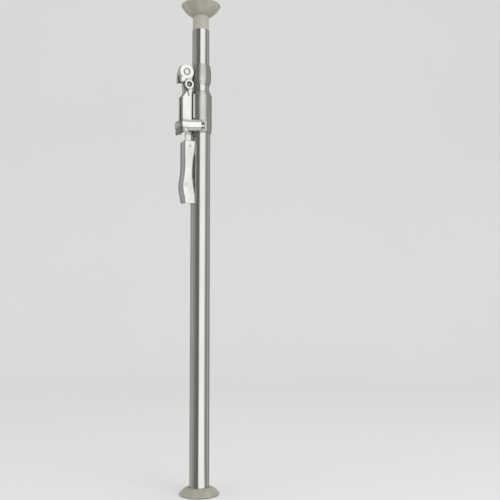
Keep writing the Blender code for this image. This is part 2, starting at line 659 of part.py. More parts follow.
def collar(alloy):
    """Collar that grips the inner tube, with the tongue that carries the lever's pivot."""
    spigot_bore = SLIDE_BORE + COLLAR_SPIGOT_WALL + SEAT_GAP
    pocket = COLLAR_BOTTOM + COLLAR_SPIGOT
    profile = [(SLIDE_BORE, pocket), (spigot_bore, pocket), (spigot_bore, COLLAR_BOTTOM)]
    profile += [(COLLAR_RADIUS - EDGE / 2, COLLAR_BOTTOM), (COLLAR_RADIUS, COLLAR_BOTTOM + COLLAR_BAND[0])]
    profile += [(COLLAR_RADIUS, COLLAR_BOTTOM + COLLAR_BAND[1]), (COLLAR_TOP_RADIUS, COLLAR_TOP - EDGE)]
    profile += [(COLLAR_TOP_RADIUS - EDGE, COLLAR_TOP), (SLIDE_BORE, COLLAR_TOP)]
    body = turned("collar", profile, alloy)
    root = SLIDE_BORE + TONGUE_ROOT_WALL
    tongue_root = [(root, pocket + TONGUE_ROOT_WALL), (root, COLLAR_TOP - 2 * EDGE)]
    tongue_points = eye_outline(LEVER_PIVOT, TONGUE_EYE_RADIUS, tongue_root)
    tongue = plate("tongue_solid", tongue_points, -SLOT_FILL_HALF_WIDTH, SLOT_FILL_HALF_WIDTH)
    weld(body, tongue)
    cut(body, pin("tongue_hole", LEVER_PIVOT, PIVOT_PIN_RADIUS + RUNNING_GAP, -OVERSHOOT, OVERSHOOT))
    mouth = LEVER_PIVOT[0] - PIVOT_PIN_RADIUS
    bore = back_screw_solid("plunger_bore", PLUNGER_RADIUS + SEAT_GAP, LEVER_PIVOT[1], -mouth, -INNER_BORE)
    cut(body, bore)
    return body


def brake_plunger(brass):
    """Plunger between the lever's pivot pin and the inner tube: it locks the collar to the tube."""
    start = -(LEVER_PIVOT[0] - PIVOT_PIN_RADIUS - SEAT_GAP)
    end = -(INNER_TUBE_RADIUS + RUNNING_GAP)
    return back_screw_solid("brake_plunger", PLUNGER_RADIUS, LEVER_PIVOT[1], start, end, brass)


def collar_ring(alloy):
    """Ring screwed into the foot of the collar."""
    top = COLLAR_BOTTOM - SEAT_GAP
    spigot = SLIDE_BORE + COLLAR_SPIGOT_WALL
    spigot_top = COLLAR_BOTTOM + COLLAR_SPIGOT - SEAT_GAP
    profile = [(SLIDE_BORE, RING_BOTTOM), (RING_BOTTOM_RADIUS, RING_BOTTOM)]
    profile += [(RING_BOTTOM_RADIUS, RING_BOTTOM + RING_NECK)]
    profile += [(COLLAR_RADIUS - EDGE, RING_BOTTOM + RING_CONE), (COLLAR_RADIUS - EDGE / 4, top)]
    profile += [(spigot, top), (spigot, spigot_top), (SLIDE_BORE, spigot_top)]
    return turned("collar_ring", profile, alloy)


def head_outline():
    """Lever head from the side: round about the pivot, with a flat-bottomed hood on the outer side."""
    crown = arc(LEVER_PIVOT, HEAD_RADIUS - BOSS_STEP, 205, 95, CORNER_STEP / 2)
    hood_centre = (crown[-1][0], HOOD_BOTTOM + 13 * MM)
    hood = arc(hood_centre, (HOOD_REACH - hood_centre[0], crown[-1][1] - hood_centre[1]), 78, 0)
    neck = HOOD_BOTTOM + 5 * MM
    corners = [(ARM_INNER_REACH + 2 * MM, neck)] + crown + hood
    corners += [(HOOD_REACH, HOOD_BOTTOM, 3 * MM), (ARM_WAIST_REACH + 3 * MM, HOOD_BOTTOM, 2 * MM)]
    corners += [(ARM_WAIST_REACH + 1 * MM, neck)]
    return rounded(corners)


def arm_outline():
    """Lever arm from the side, from inside the head down to the crosshead."""
    low, high = ARM_SHOULDER
    return rounded(
        [
            (ARM_INNER_REACH, CROSSHEAD[0], 2 * MM),
            (ARM_OUTER_REACH, CROSSHEAD[0], 2 * MM),
            (ARM_OUTER_REACH, low, 3 * MM),
            (ARM_WAIST_REACH, high, 4 * MM),
            (ARM_WAIST_REACH, LEVER_PIVOT[1], 2 * MM),
            (ARM_INNER_REACH, LEVER_PIVOT[1] - 8 * MM, 2 * MM),
        ]
    )


def lever_fork(alloy):
    """Two-pronged lever casting: the head on the pivot, the arm outside the link, and the crosshead."""
    half = HEAD_HALF_WIDTH
    body = plate("lever_fork", head_outline(), -half, half, alloy, HEAD_EDGE, steps=2)
    arm = plate("arm_solid", arm_outline(), -ARM_HALF_WIDTH, ARM_HALF_WIDTH, edge=EDGE)
    boss_face = -(HEAD_HALF_WIDTH + PIVOT_BOSS_RISE)
    boss_profile = [(0, boss_face), (HEAD_RADIUS - EDGE, boss_face), (HEAD_RADIUS, boss_face + EDGE)]
    boss_profile += [(HEAD_RADIUS, EDGE - SLOT_HALF_WIDTH), (0, EDGE - SLOT_HALF_WIDTH)]
    boss = turned("boss_solid", boss_profile, None, TUBE_STEPS, LEVER_PIVOT)
    weld(body, arm, boss)
    left, right = ARM_INNER_REACH - 2 * OVERSHOOT, HOOD_REACH + OVERSHOOT
    slot_top = LEVER_PIVOT[1] + HEAD_RADIUS + OVERSHOOT
    slot_points = [(left, CROSSHEAD[1]), (right, CROSSHEAD[1]), (right, slot_top), (left, slot_top)]
    slot = plate("slot_cut", slot_points, -SLOT_HALF_WIDTH, SLOT_HALF_WIDTH)
    far = 2 * HEAD_HALF_WIDTH
    recess_floor, hole = boss_face + PIVOT_RECESS_DEPTH, PIVOT_PIN_RADIUS + SEAT_GAP
    stepped = [(0, -far), (PIVOT_RECESS_RADIUS, -far), (PIVOT_RECESS_RADIUS, recess_floor)]
    stepped += [(hole, recess_floor), (hole, far), (0, far)]
    pivot_hole = turned("pivot_cut", stepped, None, BOLT_STEPS, LEVER_PIVOT)
    bolt_hole = pin("bolt_cut", LINK_TOP, BOLT_RADIUS + SEAT_GAP, -far, far)
    latch_hole = pin("latch_cut", LATCH_PIVOT, LATCH_PIN_RADIUS + SEAT_GAP, -far, far)
    rivet_hole = pin("rivet_cut", bar_pin_place("upper"), BAR_PIN_RADIUS + SEAT_GAP, -far, far)
    bar_room = bar_outline(SEAT_GAP)
    bar_slot = plate("bar_cut", bar_room, -BAR_HALF_WIDTH - SEAT_GAP, BAR_HALF_WIDTH + SEAT_GAP)
    cut(body, slot, pivot_hole, bolt_hole, latch_hole, rivet_hole, bar_slot)
    return body


def bar_outline(room=0.0):
    """The flat bar that joins the fork to the grip, or the space that holds it."""
    inner, outer = BAR_REACH
    top = CROSSHEAD[1] - SEAT_GAP + 2 * room
    bottom = GRIP_TOP - BAR_TANG - room
    return [(inner - room, bottom), (outer + room, bottom), (outer + room, top), (inner - room, top)]


def bar_pin_place(where):
    """(reach, height) of the cross pin at either end of the bar."""
    middle = (BAR_REACH[0] + BAR_REACH[1]) / 2
    if where == "upper":
        return (middle, (CROSSHEAD[0] + CROSSHEAD[1]) / 2)
    return (middle, GRIP_TOP - BAR_TANG / 2)


def lever_bar(steel):
    body = plate("lever_bar", bar_outline(), -BAR_HALF_WIDTH, BAR_HALF_WIDTH, steel)
    for where in ("upper", "lower"):
        place_of_pin, bore = bar_pin_place(where), BAR_PIN_RADIUS + SEAT_GAP
        cut(body, pin(f"bar_hole_{where}", place_of_pin, bore, -OVERSHOOT, OVERSHOOT))
    return body


def bar_pin(where, half_length, steel):
    centre = bar_pin_place(where)
    return pin(f"bar_pin_{where}", centre, BAR_PIN_RADIUS, -half_length, half_length, steel, PIN_CHAMFER)


def grip_back(extra=0.0):
    """Outer edge of the grip from bottom to top: flat, with a palm swell near the foot."""
    points = []
    steps = 10
    below, above = GRIP_SWELL_SPAN
    for index in range(steps + 1):
        height = GRIP_SWELL_HEIGHT - below + (below + above) * index / steps
        span = below if height < GRIP_SWELL_HEIGHT else above
        share = (1 + math.cos(math.pi * (height - GRIP_SWELL_HEIGHT) / span)) / 2
        points.append((GRIP_REACH + GRIP_SWELL * share - extra, height))
    return points


def handle_grip(alloy):
    """Channel-shaped grip: its cheeks straddle the tube and dip in the middle for the fingers."""
    cheeks = [(GRIP_REACH - depth, GRIP_TOP - share * GRIP_LENGTH) for depth, share in GRIP_CHEEKS]
    front = cheeks[0][0] - OVERSHOOT
    back = grip_back()
    corners = [(front, GRIP_BOTTOM), (GRIP_REACH - EDGE, GRIP_BOTTOM, GRIP_CORNER)] + back
    corners += [(GRIP_REACH, GRIP_TOP, GRIP_CORNER), (front, GRIP_TOP)]
    half = GRIP_HALF_WIDTH
    body = plate("handle_grip", rounded(corners), -half, half, alloy, GRIP_EDGE, steps=3)
    above, below = GRIP_TOP + EDGE, GRIP_BOTTOM - EDGE
    finger_side = [(0, above), (cheeks[0][0], above)] + cheeks + [(cheeks[-1][0], below), (0, below)]
    fingers = plate("finger_cut", finger_side, -2 * half, 2 * half)
    cavity = plate("cavity_cut", cavity_outline(), -cavity_half_width(), cavity_half_width())
    tang_half = BAR_HALF_WIDTH + SEAT_GAP
    bar_room = plate("tang_cut", bar_outline(SEAT_GAP), -tang_half, tang_half)
    wide = 2 * GRIP_HALF_WIDTH
    rivet = pin("tang_pin_cut", bar_pin_place("lower"), BAR_PIN_RADIUS + SEAT_GAP, -wide, wide)
    screw = pin("grip_screw_cut", GRIP_SCREW, GRIP_SCREW_RADIUS + SEAT_GAP, -wide, wide)
    sink_floor = GRIP_SCREW_SINK - GRIP_HALF_WIDTH
    sink = pin("grip_sink_cut", GRIP_SCREW, GRIP_SCREW_HEAD + SEAT_GAP, -wide, sink_floor)
    tube_room = room_round_tube("tube_room_cut", GRIP_BOTTOM, GRIP_TOP)
    cut(body, fingers, tube_room, cavity, bar_room, rivet, screw, sink)
    return body


def room_round_tube(name, bottom, top):
    """The space kept free round the outer tube, as a cutter."""
    low, high = bottom - OVERSHOOT, top + OVERSHOOT
    return turned(name, [(0, low), (TUBE_ROOM_RADIUS, low), (TUBE_ROOM_RADIUS, high), (0, high)])


def cavity_half_width():
    return GRIP_HALF_WIDTH - GRIP_WALL


def cavity_outline():
    """The grip's hollow, open towards the tube."""
    back = grip_back(GRIP_WALL)
    floor = GRIP_BOTTOM + GRIP_WALL
    ceiling = GRIP_TOP - BAR_TANG - GRIP_WALL
    corner = GRIP_CORNER - GRIP_WALL
    corners = [(0, floor), (GRIP_REACH - GRIP_WALL - EDGE, floor, corner)] + back
    corners += [(GRIP_REACH - GRIP_WALL, ceiling, corner), (0, ceiling)]
    return rounded(corners)


def handle_bumper(rubber):
    """Rubber block inside the grip that meets the tube when the lever is shut."""
    low, high = BUMPER_HEIGHTS
    back = GRIP_REACH - GRIP_WALL - SEAT_GAP
    half = cavity_half_width() - SEAT_GAP
    front, corner = TUBE_ROOM_RADIUS, 1.5 * MM
    points = rounded([(front, low, corner), (back, low), (back, high), (front, high, corner)])
    body = plate("handle_bumper", points, -half, half, rubber)
    cut(body, pin("bumper_hole", GRIP_SCREW, GRIP_SCREW_RADIUS + SEAT_GAP, -2 * half, 2 * half))
    cut(body, room_round_tube("bumper_room", low, high))
    return body


def handle_screw(steel):
    """Countersunk screw through the grip's cheeks and the bumper."""
    head = GRIP_SCREW_SUNK - GRIP_HALF_WIDTH
    under = GRIP_SCREW_SINK - GRIP_HALF_WIDTH - SEAT_GAP
    end = GRIP_HALF_WIDTH - GRIP_SCREW_SUNK
    socket = GRIP_SCREW_RADIUS * 0.8
    floor = (head + under) / 2
    profile = [(0, floor), (socket, floor), (socket, head), (GRIP_SCREW_HEAD, head)]
    profile += [(GRIP_SCREW_HEAD, under), (GRIP_SCREW_RADIUS, under), (GRIP_SCREW_RADIUS, end), (0, end)]
    return turned("handle_screw", profile, steel, PIN_STEPS, GRIP_SCREW)


def pivot_pin(steel):
    """Lever pivot: its near end shows in the head's recess."""
    near = PIVOT_PIN_SUNK - HEAD_HALF_WIDTH - PIVOT_BOSS_RISE
    far = HEAD_HALF_WIDTH + CLIP_THICKNESS + PIVOT_PIN_TAIL
    return pin("pivot_pin", LEVER_PIVOT, PIVOT_PIN_RADIUS, near, far, steel, PIVOT_PIN_CHAMFER, BOLT_STEPS)


def pivot_clip(steel):
    near = HEAD_HALF_WIDTH + SEAT_GAP
    far = near + CLIP_THICKNESS
    bore = PIVOT_PIN_RADIUS + SEAT_GAP
    return ring_along_pivot("pivot_clip", LEVER_PIVOT, bore, bore + CLIP_WIDTH, near, far, steel)


def spring_room():
    """Width along Y that the lever's spring takes under the bolt's washer."""
    return SPRING_PITCH * SPRING_TURNS + 4 * SPRING_WIRE


def link_bolt(steel):
    """Flanged bolt that joins the link to the lever; it threads into the far prong."""
    under = -(ARM_HALF_WIDTH + spring_room() + WASHER_THICKNESS + 2 * SEAT_GAP)
    face = under - BOLT_FLANGE_HEIGHT
    floor = face + BOLT_SOCKET_DEPTH
    end = ARM_HALF_WIDTH
    chamfer = BOLT_CHAMFER
    profile = [(0, floor), (BOLT_SOCKET_RADIUS, floor), (BOLT_SOCKET_RADIUS, face)]
    profile += [(BOLT_FLANGE_RADIUS - chamfer, face), (BOLT_FLANGE_RADIUS, face + chamfer)]
    profile += [(BOLT_FLANGE_RADIUS, under), (BOLT_RADIUS, under), (BOLT_RADIUS, end), (0, end)]
    return turned("link_bolt", profile, steel, BOLT_STEPS, LINK_TOP)


def bolt_washer(steel):
    near = -(ARM_HALF_WIDTH + spring_room() + WASHER_THICKNESS + SEAT_GAP)
    far = near + WASHER_THICKNESS
    bore = BOLT_RADIUS + SEAT_GAP
    return ring_along_pivot("bolt_washer", LINK_TOP, bore, WASHER_RADIUS, near, far, steel)


def lever_spring(steel):
    """Torsion spring round the bolt, its two legs lying on the near prong."""
    reach, height = LINK_TOP
    start = -(ARM_HALF_WIDTH + SPRING_WIRE + SEAT_GAP)
    first = math.radians(-60)
    sweep = 2 * math.pi * (SPRING_TURNS - 1 / 6)
    count = SPRING_POINTS * SPRING_TURNS
    points = []
    for index in range(count + 1):
        share = index / count
        turn = first - sweep * share
        side, rise = SPRING_RADIUS * math.cos(turn), SPRING_RADIUS * math.sin(turn)
        points.append((reach + side, start - SPRING_PITCH * SPRING_TURNS * share, height + rise))
    leg_in = [(reach - 3.5 * MM, start, height - 25 * MM), (reach - 1 * MM, start, height - 15 * MM)]
    tail_reach, tail_across, tail_height = points[-1]
    leg_out = [(tail_reach + 0.5 * MM, tail_across, tail_height - 9 * MM)]
    leg_out += [(tail_reach - 2.5 * MM, tail_across, tail_height - 18 * MM)]
    gap = least_gap(points, SPRING_POINTS // 2) - 2 * SPRING_WIRE
    print(f"lever_spring: least gap to itself {gap / MM:.2f} mm")
    return wire("lever_spring", leg_in + points + leg_out, SPRING_WIRE, steel)


def least_gap(points, apart):
    """Least distance between points of a path that are at least so many points apart."""
    gaps = []
    for index, point in enumerate(points):
        gaps += [math.dist(point, other) for other in points[index + apart :]]
    return min(gaps)


def wire(name, points, radius, material):
    """Round wire along points given as (reach, across, height)."""
    curve = bpy.data.curves.new(name, "CURVE")
    curve.dimensions = "3D"
    curve.bevel_depth = radius
    curve.bevel_resolution = 1
    curve.use_fill_caps = True
    spline = curve.splines.new("POLY")
    spline.points.add(len(points) - 1)
    for point, (reach, across, height) in zip(spline.points, points):
        point.co = (-reach, across, height, 1)
    curve.materials.append(material)
    obj = bpy.data.objects.new(name, curve)
    bpy.context.scene.collection.objects.link(obj)
    return obj


def link(steel):
    """Strut from the lever's bolt to the sleeve's lug, its forked foot slotted for the foot pin."""
    half = SLOT_FILL_HALF_WIDTH
    top_reach, top_height = LINK_TOP
    foot_reach, foot_height = LINK_FOOT
    eye_root = top_height - 2 * LINK_EYE_RADIUS
    cheek_top = foot_height + FOOT_SLOT_RISE + EDGE
    cheek_root = foot_height + FOOT_SLOT_RISE + 2 * LINK_FOOT_RADIUS
    outline = arc(LINK_TOP, LINK_EYE_RADIUS, -38, 218)
    outline += [(top_reach - LINK_HALF_WIDTH, eye_root), (foot_reach - LINK_HALF_WIDTH, cheek_root)]
    outline += [(foot_reach - LINK_FOOT_RADIUS, cheek_top)]
    outline += arc(LINK_FOOT, LINK_FOOT_RADIUS, 180, 360)
    outline += [(foot_reach + LINK_FOOT_RADIUS, cheek_top)]
    outline += [(foot_reach + LINK_HALF_WIDTH, cheek_root), (top_reach + LINK_HALF_WIDTH, eye_root)]
    body = plate("link", outline, -half, half, steel, edge=EDGE / 2)
    crotch = foot_height + LINK_CROTCH_RISE
    mouth = foot_height - LINK_FOOT_RADIUS - OVERSHOOT
    left, right = foot_reach - 2 * LINK_FOOT_RADIUS, foot_reach + 2 * LINK_FOOT_RADIUS
    throat = [(left, mouth), (right, mouth), (right, crotch), (left, crotch)]
    fork_gap = LUG_HALF_WIDTH + SIDE_PLAY
    slot_middle = (foot_reach - FOOT_SLOT_SHIFT, foot_height)
    slot_radius = FOOT_PIN_RADIUS + FOOT_SLOT_PLAY
    foot_slot = arc(slot_middle, slot_radius, 180, 360)
    foot_slot += arc((slot_middle[0], foot_height + FOOT_SLOT_RISE), slot_radius, 0, 180)
    bolt_hole = pin("link_bolt_cut", LINK_TOP, BOLT_RADIUS + RUNNING_GAP, -OVERSHOOT, OVERSHOOT)
    cut(body, plate("throat_cut", throat, -fork_gap, fork_gap))
    cut(body, plate("foot_slot_cut", foot_slot, -OVERSHOOT, OVERSHOOT), bolt_hole)
    return body


def link_pin(steel):
    return pin("link_pin", LINK_FOOT, FOOT_PIN_RADIUS, -SLOT_FILL_HALF_WIDTH, SLOT_FILL_HALF_WIDTH, steel)


def yoke_plan(proud=0.0):
    """The yoke from above, as one closed outline; proud thickens it outwards."""
    outside = []
    for reach, across in YOKE_OUTSIDE:
        forward = proud if reach > ARM_OUTER_REACH else 0.0
        sideways = proud if across else 0.0
        outside.append((reach + forward, across + sideways))
    near = [(reach, -across) for reach, across in outside]
    far = [(reach, across) for reach, across in reversed(outside[:-1])]
    far_inside = list(YOKE_INSIDE)
    near_inside = [(reach, -across) for reach, across in reversed(YOKE_INSIDE[:-1])]
    return near + far + far_inside + near_inside


def yoke_side():
    """The yoke from the side: hooks on the tube side, an ear at the pivot, a thumb pad at the nose."""
    bottom, top = YOKE_HEIGHTS
    rib_bottom = YOKE_RIB_HEIGHTS[0]
    hook_tip = KEEPER_TOOTH[1] - 0.7 * MM
    hook_root = KEEPER_TOOTH[1] - 3.8 * MM
    hook_back = KEEPER_TOOTH[0] - 2.3 * MM
    hook_bottom = rib_bottom + 1 * MM
    shank = KEEPER_REACH[-1] + KEEPER_PLAY
    nose = YOKE_OUTSIDE[-1][0]
    return rounded(
        [
            (YOKE_HOOK_REACH, hook_bottom, 1.0 * MM),
            (shank, hook_bottom),
            (shank, bottom, 1 * MM),
            (LATCH_PIVOT[0] - 8 * MM, bottom),
            (LATCH_PIVOT[0] - 5 * MM, bottom - 4 * MM, 2 * MM),
            (LATCH_PIVOT[0] + 2 * MM, bottom - 5 * MM, 3 * MM),
            (nose - 8 * MM, YOKE_NOSE_BOTTOM, 3 * MM),
            (nose - 2.5 * MM, YOKE_NOSE_BOTTOM + 3 * MM, 4 * MM),
            (nose + 0.7 * MM, (YOKE_NOSE_BOTTOM + top) / 2),
            (nose - 2.5 * MM, top - 1.5 * MM, 3.5 * MM),
            (nose - 9 * MM, top, 2 * MM),
            (shank, top, 1 * MM),
            (shank, hook_root),
            (hook_back + 0.9 * MM, hook_root),
            (hook_back, hook_tip),
            (YOKE_HOOK_REACH, hook_tip, 0.8 * MM),
        ]
    )


def latch_yoke(alloy):
    """Safety catch: a yoke round the lever's arm with a raised rib, edge notches and a thumb recess."""
    wide = 2 * KEEPER_HALF_WIDTH
    bottom, top = YOKE_HEIGHTS
    body = slab("latch_yoke", yoke_plan(), YOKE_NOSE_BOTTOM - OVERSHOOT, top + OVERSHOOT, alloy)
    rib = slab("rib_solid", yoke_plan(YOKE_RIB_RISE), *YOKE_RIB_HEIGHTS)
    weld(body, rib)
    keep_inside(body, plate("yoke_side_solid", yoke_side(), -wide, wide))
    left, right = YOKE_NOTCH_REACH - YOKE_NOTCH / 2, YOKE_NOTCH_REACH + YOKE_NOTCH / 2
    for where, edge in (("low", bottom), ("high", top)):
        low, high = edge - YOKE_NOTCH, edge + YOKE_NOTCH
        points = [(left, low), (right, low), (right, high), (left, high)]
        cut(body, plate(f"notch_{where}", points, -wide, wide))
    cut(body, slab("thumb_cut", thumb_plan(), *THUMB_HEIGHTS))
    cut(body, pin("latch_hole", LATCH_PIVOT, LATCH_PIN_RADIUS + SEAT_GAP, -wide, wide))
    return body


def thumb_plan():
    """Shallow dished recess across the nose of the yoke, seen from above."""
    nose = YOKE_OUTSIDE[-1][0] + YOKE_RIB_RISE
    centre = nose + THUMB_RADIUS - THUMB_DEPTH
    return arc((centre, 0), THUMB_RADIUS, 110, 250)


def latch_pin(steel):
    """Cross pin through the crosshead and both cheeks of the catch."""
    head_radius, head_height = LATCH_PIN_HEAD
    covered = LATCH_PIVOT[0] - 2 * head_radius
    cheek = max(across for reach, across in YOKE_OUTSIDE if reach > covered) + SEAT_GAP
    near = -(cheek + head_height)
    chamfer = PIN_CHAMFER
    profile = [(0, near), (head_radius - chamfer, near), (head_radius, near + chamfer)]
    profile += [(head_radius, -cheek)]
    profile += [(LATCH_PIN_RADIUS, -cheek), (LATCH_PIN_RADIUS, cheek), (0, cheek)]
    return turned("latch_pin", profile, steel, PIN_STEPS, LATCH_PIVOT)


def latch_washer(side, steel):
    """Friction washer between an arm of the fork and a cheek of the catch."""
    sign = -1 if side == "near" else 1
    inside = ARM_HALF_WIDTH + SEAT_GAP
    cheek = min(across for reach, across in YOKE_INSIDE if across)
    outside = cheek - SEAT_GAP
    ends = sorted((sign * inside, sign * outside))
    bore = LATCH_PIN_RADIUS + SEAT_GAP
    name = f"latch_washer_{side}"
    return ring_along_pivot(name, LATCH_PIVOT, bore, bore + LATCH_WASHER_WIDTH, *ends, steel)


def build():
    clear_scene()
    rubber = finish("grey rubber", (0.40, 0.38, 0.31), 0.75, 0.0)
    anodised = finish("satin aluminium tube", (0.66, 0.66, 0.62), 0.28, 1.0)
    alloy = finish("cast aluminium", (0.72, 0.71, 0.66), 0.42, 1.0)
    steel = finish("zinc-plated steel", (0.70, 0.70, 0.68), 0.30, 1.0)
    brass = finish("brass", (0.72, 0.55, 0.28), 0.35, 1.0)
    nylon = finish("black nylon", (0.03, 0.03, 0.03), 0.55, 0.0)

    foot_cup(rubber)
    foot_plug(nylon)
    tube_bottom = FOOT_SOCKET_FLOOR + SEAT_GAP
    tube("lower_tube", OUTER_TUBE_RADIUS, OUTER_TUBE_WALL, tube_bottom, OUTER_TUBE_TOP, anodised)
    sleeve(alloy)
    sleeve_bush(nylon)
    for where, height in SLEEVE_SCREW_HEIGHTS.items():
        sleeve_screw(where, height, steel)
    link_pin(steel)

    collar_axis = joint_empty("collar_axis", 0, COLLAR_BOTTOM)
    carried(collar_axis, collar(alloy), collar_ring(alloy), brake_plunger(brass))

    tube_axis = joint_empty("tube_axis", 0, INNER_TUBE_TOP)
    inner_bottom = INNER_TUBE_TOP - INNER_TUBE_LENGTH
    inner = tube("upper_tube", INNER_TUBE_RADIUS, INNER_TUBE_WALL, inner_bottom, INNER_TUBE_TOP, anodised)
    carried(tube_axis, inner, tube_glide(nylon), ceiling_cup(rubber), ceiling_plug(nylon))

    lever_axis = joint_empty("lever_axis", *LEVER_PIVOT)
    carried(lever_axis, lever_fork(alloy), pivot_pin(steel), pivot_clip(steel))
    carried(lever_axis, link_bolt(steel), bolt_washer(steel), lever_spring(steel), lever_bar(steel))
    carried(lever_axis, bar_pin("upper", ARM_HALF_WIDTH, steel), bar_pin("lower", GRIP_HALF_WIDTH, steel))
    carried(lever_axis, handle_grip(alloy), handle_bumper(rubber), handle_screw(steel))
    carried(lever_axis, latch_pin(steel), latch_washer("near", steel), latch_washer("far", steel))

    carried(joint_empty("link_axis", *LINK_TOP), link(steel))
    carried(joint_empty("latch_axis", *LATCH_PIVOT), latch_yoke(alloy))


build()
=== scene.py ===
"""Studio scene of the floor-to-ceiling pole: finishes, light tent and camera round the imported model.

Sizes are in metres. The pole stands on the origin along +Z and its lever hangs on the -X side.
"""

import json
import math

import bmesh
import bpy
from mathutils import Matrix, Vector


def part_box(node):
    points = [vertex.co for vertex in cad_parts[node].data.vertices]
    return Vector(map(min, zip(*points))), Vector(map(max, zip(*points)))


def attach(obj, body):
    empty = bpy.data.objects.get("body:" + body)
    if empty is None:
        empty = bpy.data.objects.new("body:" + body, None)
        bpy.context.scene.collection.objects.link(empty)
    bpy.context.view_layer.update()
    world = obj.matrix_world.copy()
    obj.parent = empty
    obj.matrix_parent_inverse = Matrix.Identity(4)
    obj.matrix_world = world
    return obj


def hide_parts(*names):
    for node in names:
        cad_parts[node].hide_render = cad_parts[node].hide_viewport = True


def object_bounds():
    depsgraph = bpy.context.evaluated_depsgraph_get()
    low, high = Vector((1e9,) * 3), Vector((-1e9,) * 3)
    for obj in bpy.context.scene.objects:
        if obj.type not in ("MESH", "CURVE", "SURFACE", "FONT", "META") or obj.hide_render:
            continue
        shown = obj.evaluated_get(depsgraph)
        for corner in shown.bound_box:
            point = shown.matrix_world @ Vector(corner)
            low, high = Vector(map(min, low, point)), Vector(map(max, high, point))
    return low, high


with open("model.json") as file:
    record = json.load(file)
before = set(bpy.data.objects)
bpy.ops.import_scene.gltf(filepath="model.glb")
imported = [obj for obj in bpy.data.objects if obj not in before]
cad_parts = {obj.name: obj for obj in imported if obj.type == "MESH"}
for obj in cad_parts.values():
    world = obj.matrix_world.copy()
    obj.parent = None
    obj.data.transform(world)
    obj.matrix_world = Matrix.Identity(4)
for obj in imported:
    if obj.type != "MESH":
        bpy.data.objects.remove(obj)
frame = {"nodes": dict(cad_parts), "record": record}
cad_low, cad_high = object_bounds()

MM = 0.001
POLE_MIDDLE = (cad_low[2] + cad_high[2]) / 2

# Where the photograph was taken from
CAMERA_DISTANCE = 1.770
CAMERA_HEIGHT = 0.451
CAMERA_AZIMUTH = math.radians(-25.0)
CAMERA_TILT_UP = math.radians(3.304)
CAMERA_YAW = math.radians(3.72)
CAMERA_LENS = 55.37
CAMERA_SENSOR = 36.0
CAMERA_FAR_END = 50.0

# Paper sweep: floor in front of and behind the pole, its bend, and the backdrop
SWEEP_FRONT = 6.0
SWEEP_BACK = 2.0
SWEEP_BEND = 1.6
SWEEP_HEIGHT = 4.5
SWEEP_SIDE = 7.0
SWEEP_STEPS = 24
PAPER_GLOW = 0.13

# Light of the room, and the backdrop that cameras and reflections see beyond the paper
ROOM_LIGHT = 0.72
BACKDROP_COLOUR = (0.71, 0.71, 0.705, 1)

# Soft lamps: azimuth from the camera in degrees, distance, height and power, and the size of their panels
LAMPS = {
    "key": (40, 2.4, 1.5, 17),
    "fill": (-60, 2.6, 1.4, 6),
}
LAMP_PANEL_WIDTH = 1.6
LAMP_PANEL_HEIGHT = 2.0

# Light tent, seen only in reflections: its (radius, height) outline
TENT_PROFILE = ((0.065, 0.0), (0.45, 0.25), (0.45, 4.0))
TENT_STEPS = 144

# The tent's panels: (azimuth from the camera in degrees, brightness)
TENT_BANDS = (
    (-180, 1.10),
    (-169, 1.10),
    (-163, 0.24),
    (-142, 0.24),
    (-120, 0.46),
    (-86, 0.40),
    (-56, 0.25),
    (-43, 0.18),
    (-12, 0.15),
    (-3, 1.18),
    (36, 1.20),
    (54, 1.02),
    (64, 0.28),
    (84, 0.28),
    (96, 0.48),
    (116, 0.44),
    (134, 0.22),
    (163, 0.22),
    (169, 1.10),
    (180, 1.10),
)

# Shading of edges
SHARPEST_SMOOTH_EDGE = math.radians(34)
SPLIT_CORNER_GAP = 0.002 * MM
MASK_SAMPLES = 6
ROUNDING_SAMPLES = 10

# How metallic a surface is
METAL = 1.0
NOT_METAL = 0.0

# Light and dark patches of the castings
LEVER_TONES = ((0.88, 0.88, 0.86), (0.80, 0.80, 0.775))
BODY_TONES = ((0.64, 0.635, 0.60), (0.55, 0.545, 0.51))

# Slow waves of a tumbled face: how many in a metre, and how deep
CAST_WAVES = 85.0
CAST_WAVE_DEPTH = 0.5 * MM

# Heights measured down from the top of the catch, to its ground rib, and of the ceiling cup, to its neck
RIB_BELOW_TOP = (16.9 * MM, 5.6 * MM)
NECK_BELOW_TOP = (62 * MM, 27 * MM)

# The strut's bolt, with depths from the near face of its flange
BOLT_STEPS = 48
BOLT_EDGE = 0.5 * MM
BOLT_FLANGE_DEPTH = 3.2 * MM
BOLT_SOCKET_DEPTH = 2.6 * MM
BOLT_SOCKET_SHARE = 0.55
BOLT_CORE_RADIUS = 1.9 * MM
BOLT_CORE_DEPTH = 1.3 * MM
BOLT_CORE_CROWN = 0.1 * MM
BOLT_SHANK_RADIUS = 4.0 * MM
BOLT_END_EDGE = 0.6 * MM


def feed(tree, socket, value):
    """A number, a tuple or another node's socket goes into a socket."""
    if isinstance(value, bpy.types.NodeSocket):
        tree.links.new(value, socket)
    else:
        socket.default_value = value


def link_nodes(tree, *pairs):
    for source, target in pairs:
        tree.links.new(source, target)


def new_group(name, inputs, output):
    """An empty node group with named inputs (name, default, least, most) and one output."""
    group = bpy.data.node_groups.new(name, "ShaderNodeTree")
    for label, default, least, most in inputs:
        socket = group.interface.new_socket(name=label, in_out="INPUT", socket_type="NodeSocketFloat")
        socket.default_value = default
        socket.min_value = least
        socket.max_value = most
    group.interface.new_socket(name=output, in_out="OUTPUT", socket_type="NodeSocketFloat")
    return group, group.nodes.new("NodeGroupInput"), group.nodes.new("NodeGroupOutput")


def use_group(tree, group, **values):
    """The output of a shared group with these values for its inputs, such as Lines_X for Lines X."""
    node = tree.nodes.new("ShaderNodeGroup")
    node.node_tree = group
    for label, value in values.items():
        node.inputs[label.replace("_", " ")].default_value = value
    return node.outputs[0]


def object_place(tree):
    """Where a point is on its object, in metres."""
    return tree.nodes.new("ShaderNodeTexCoord").outputs["Object"]


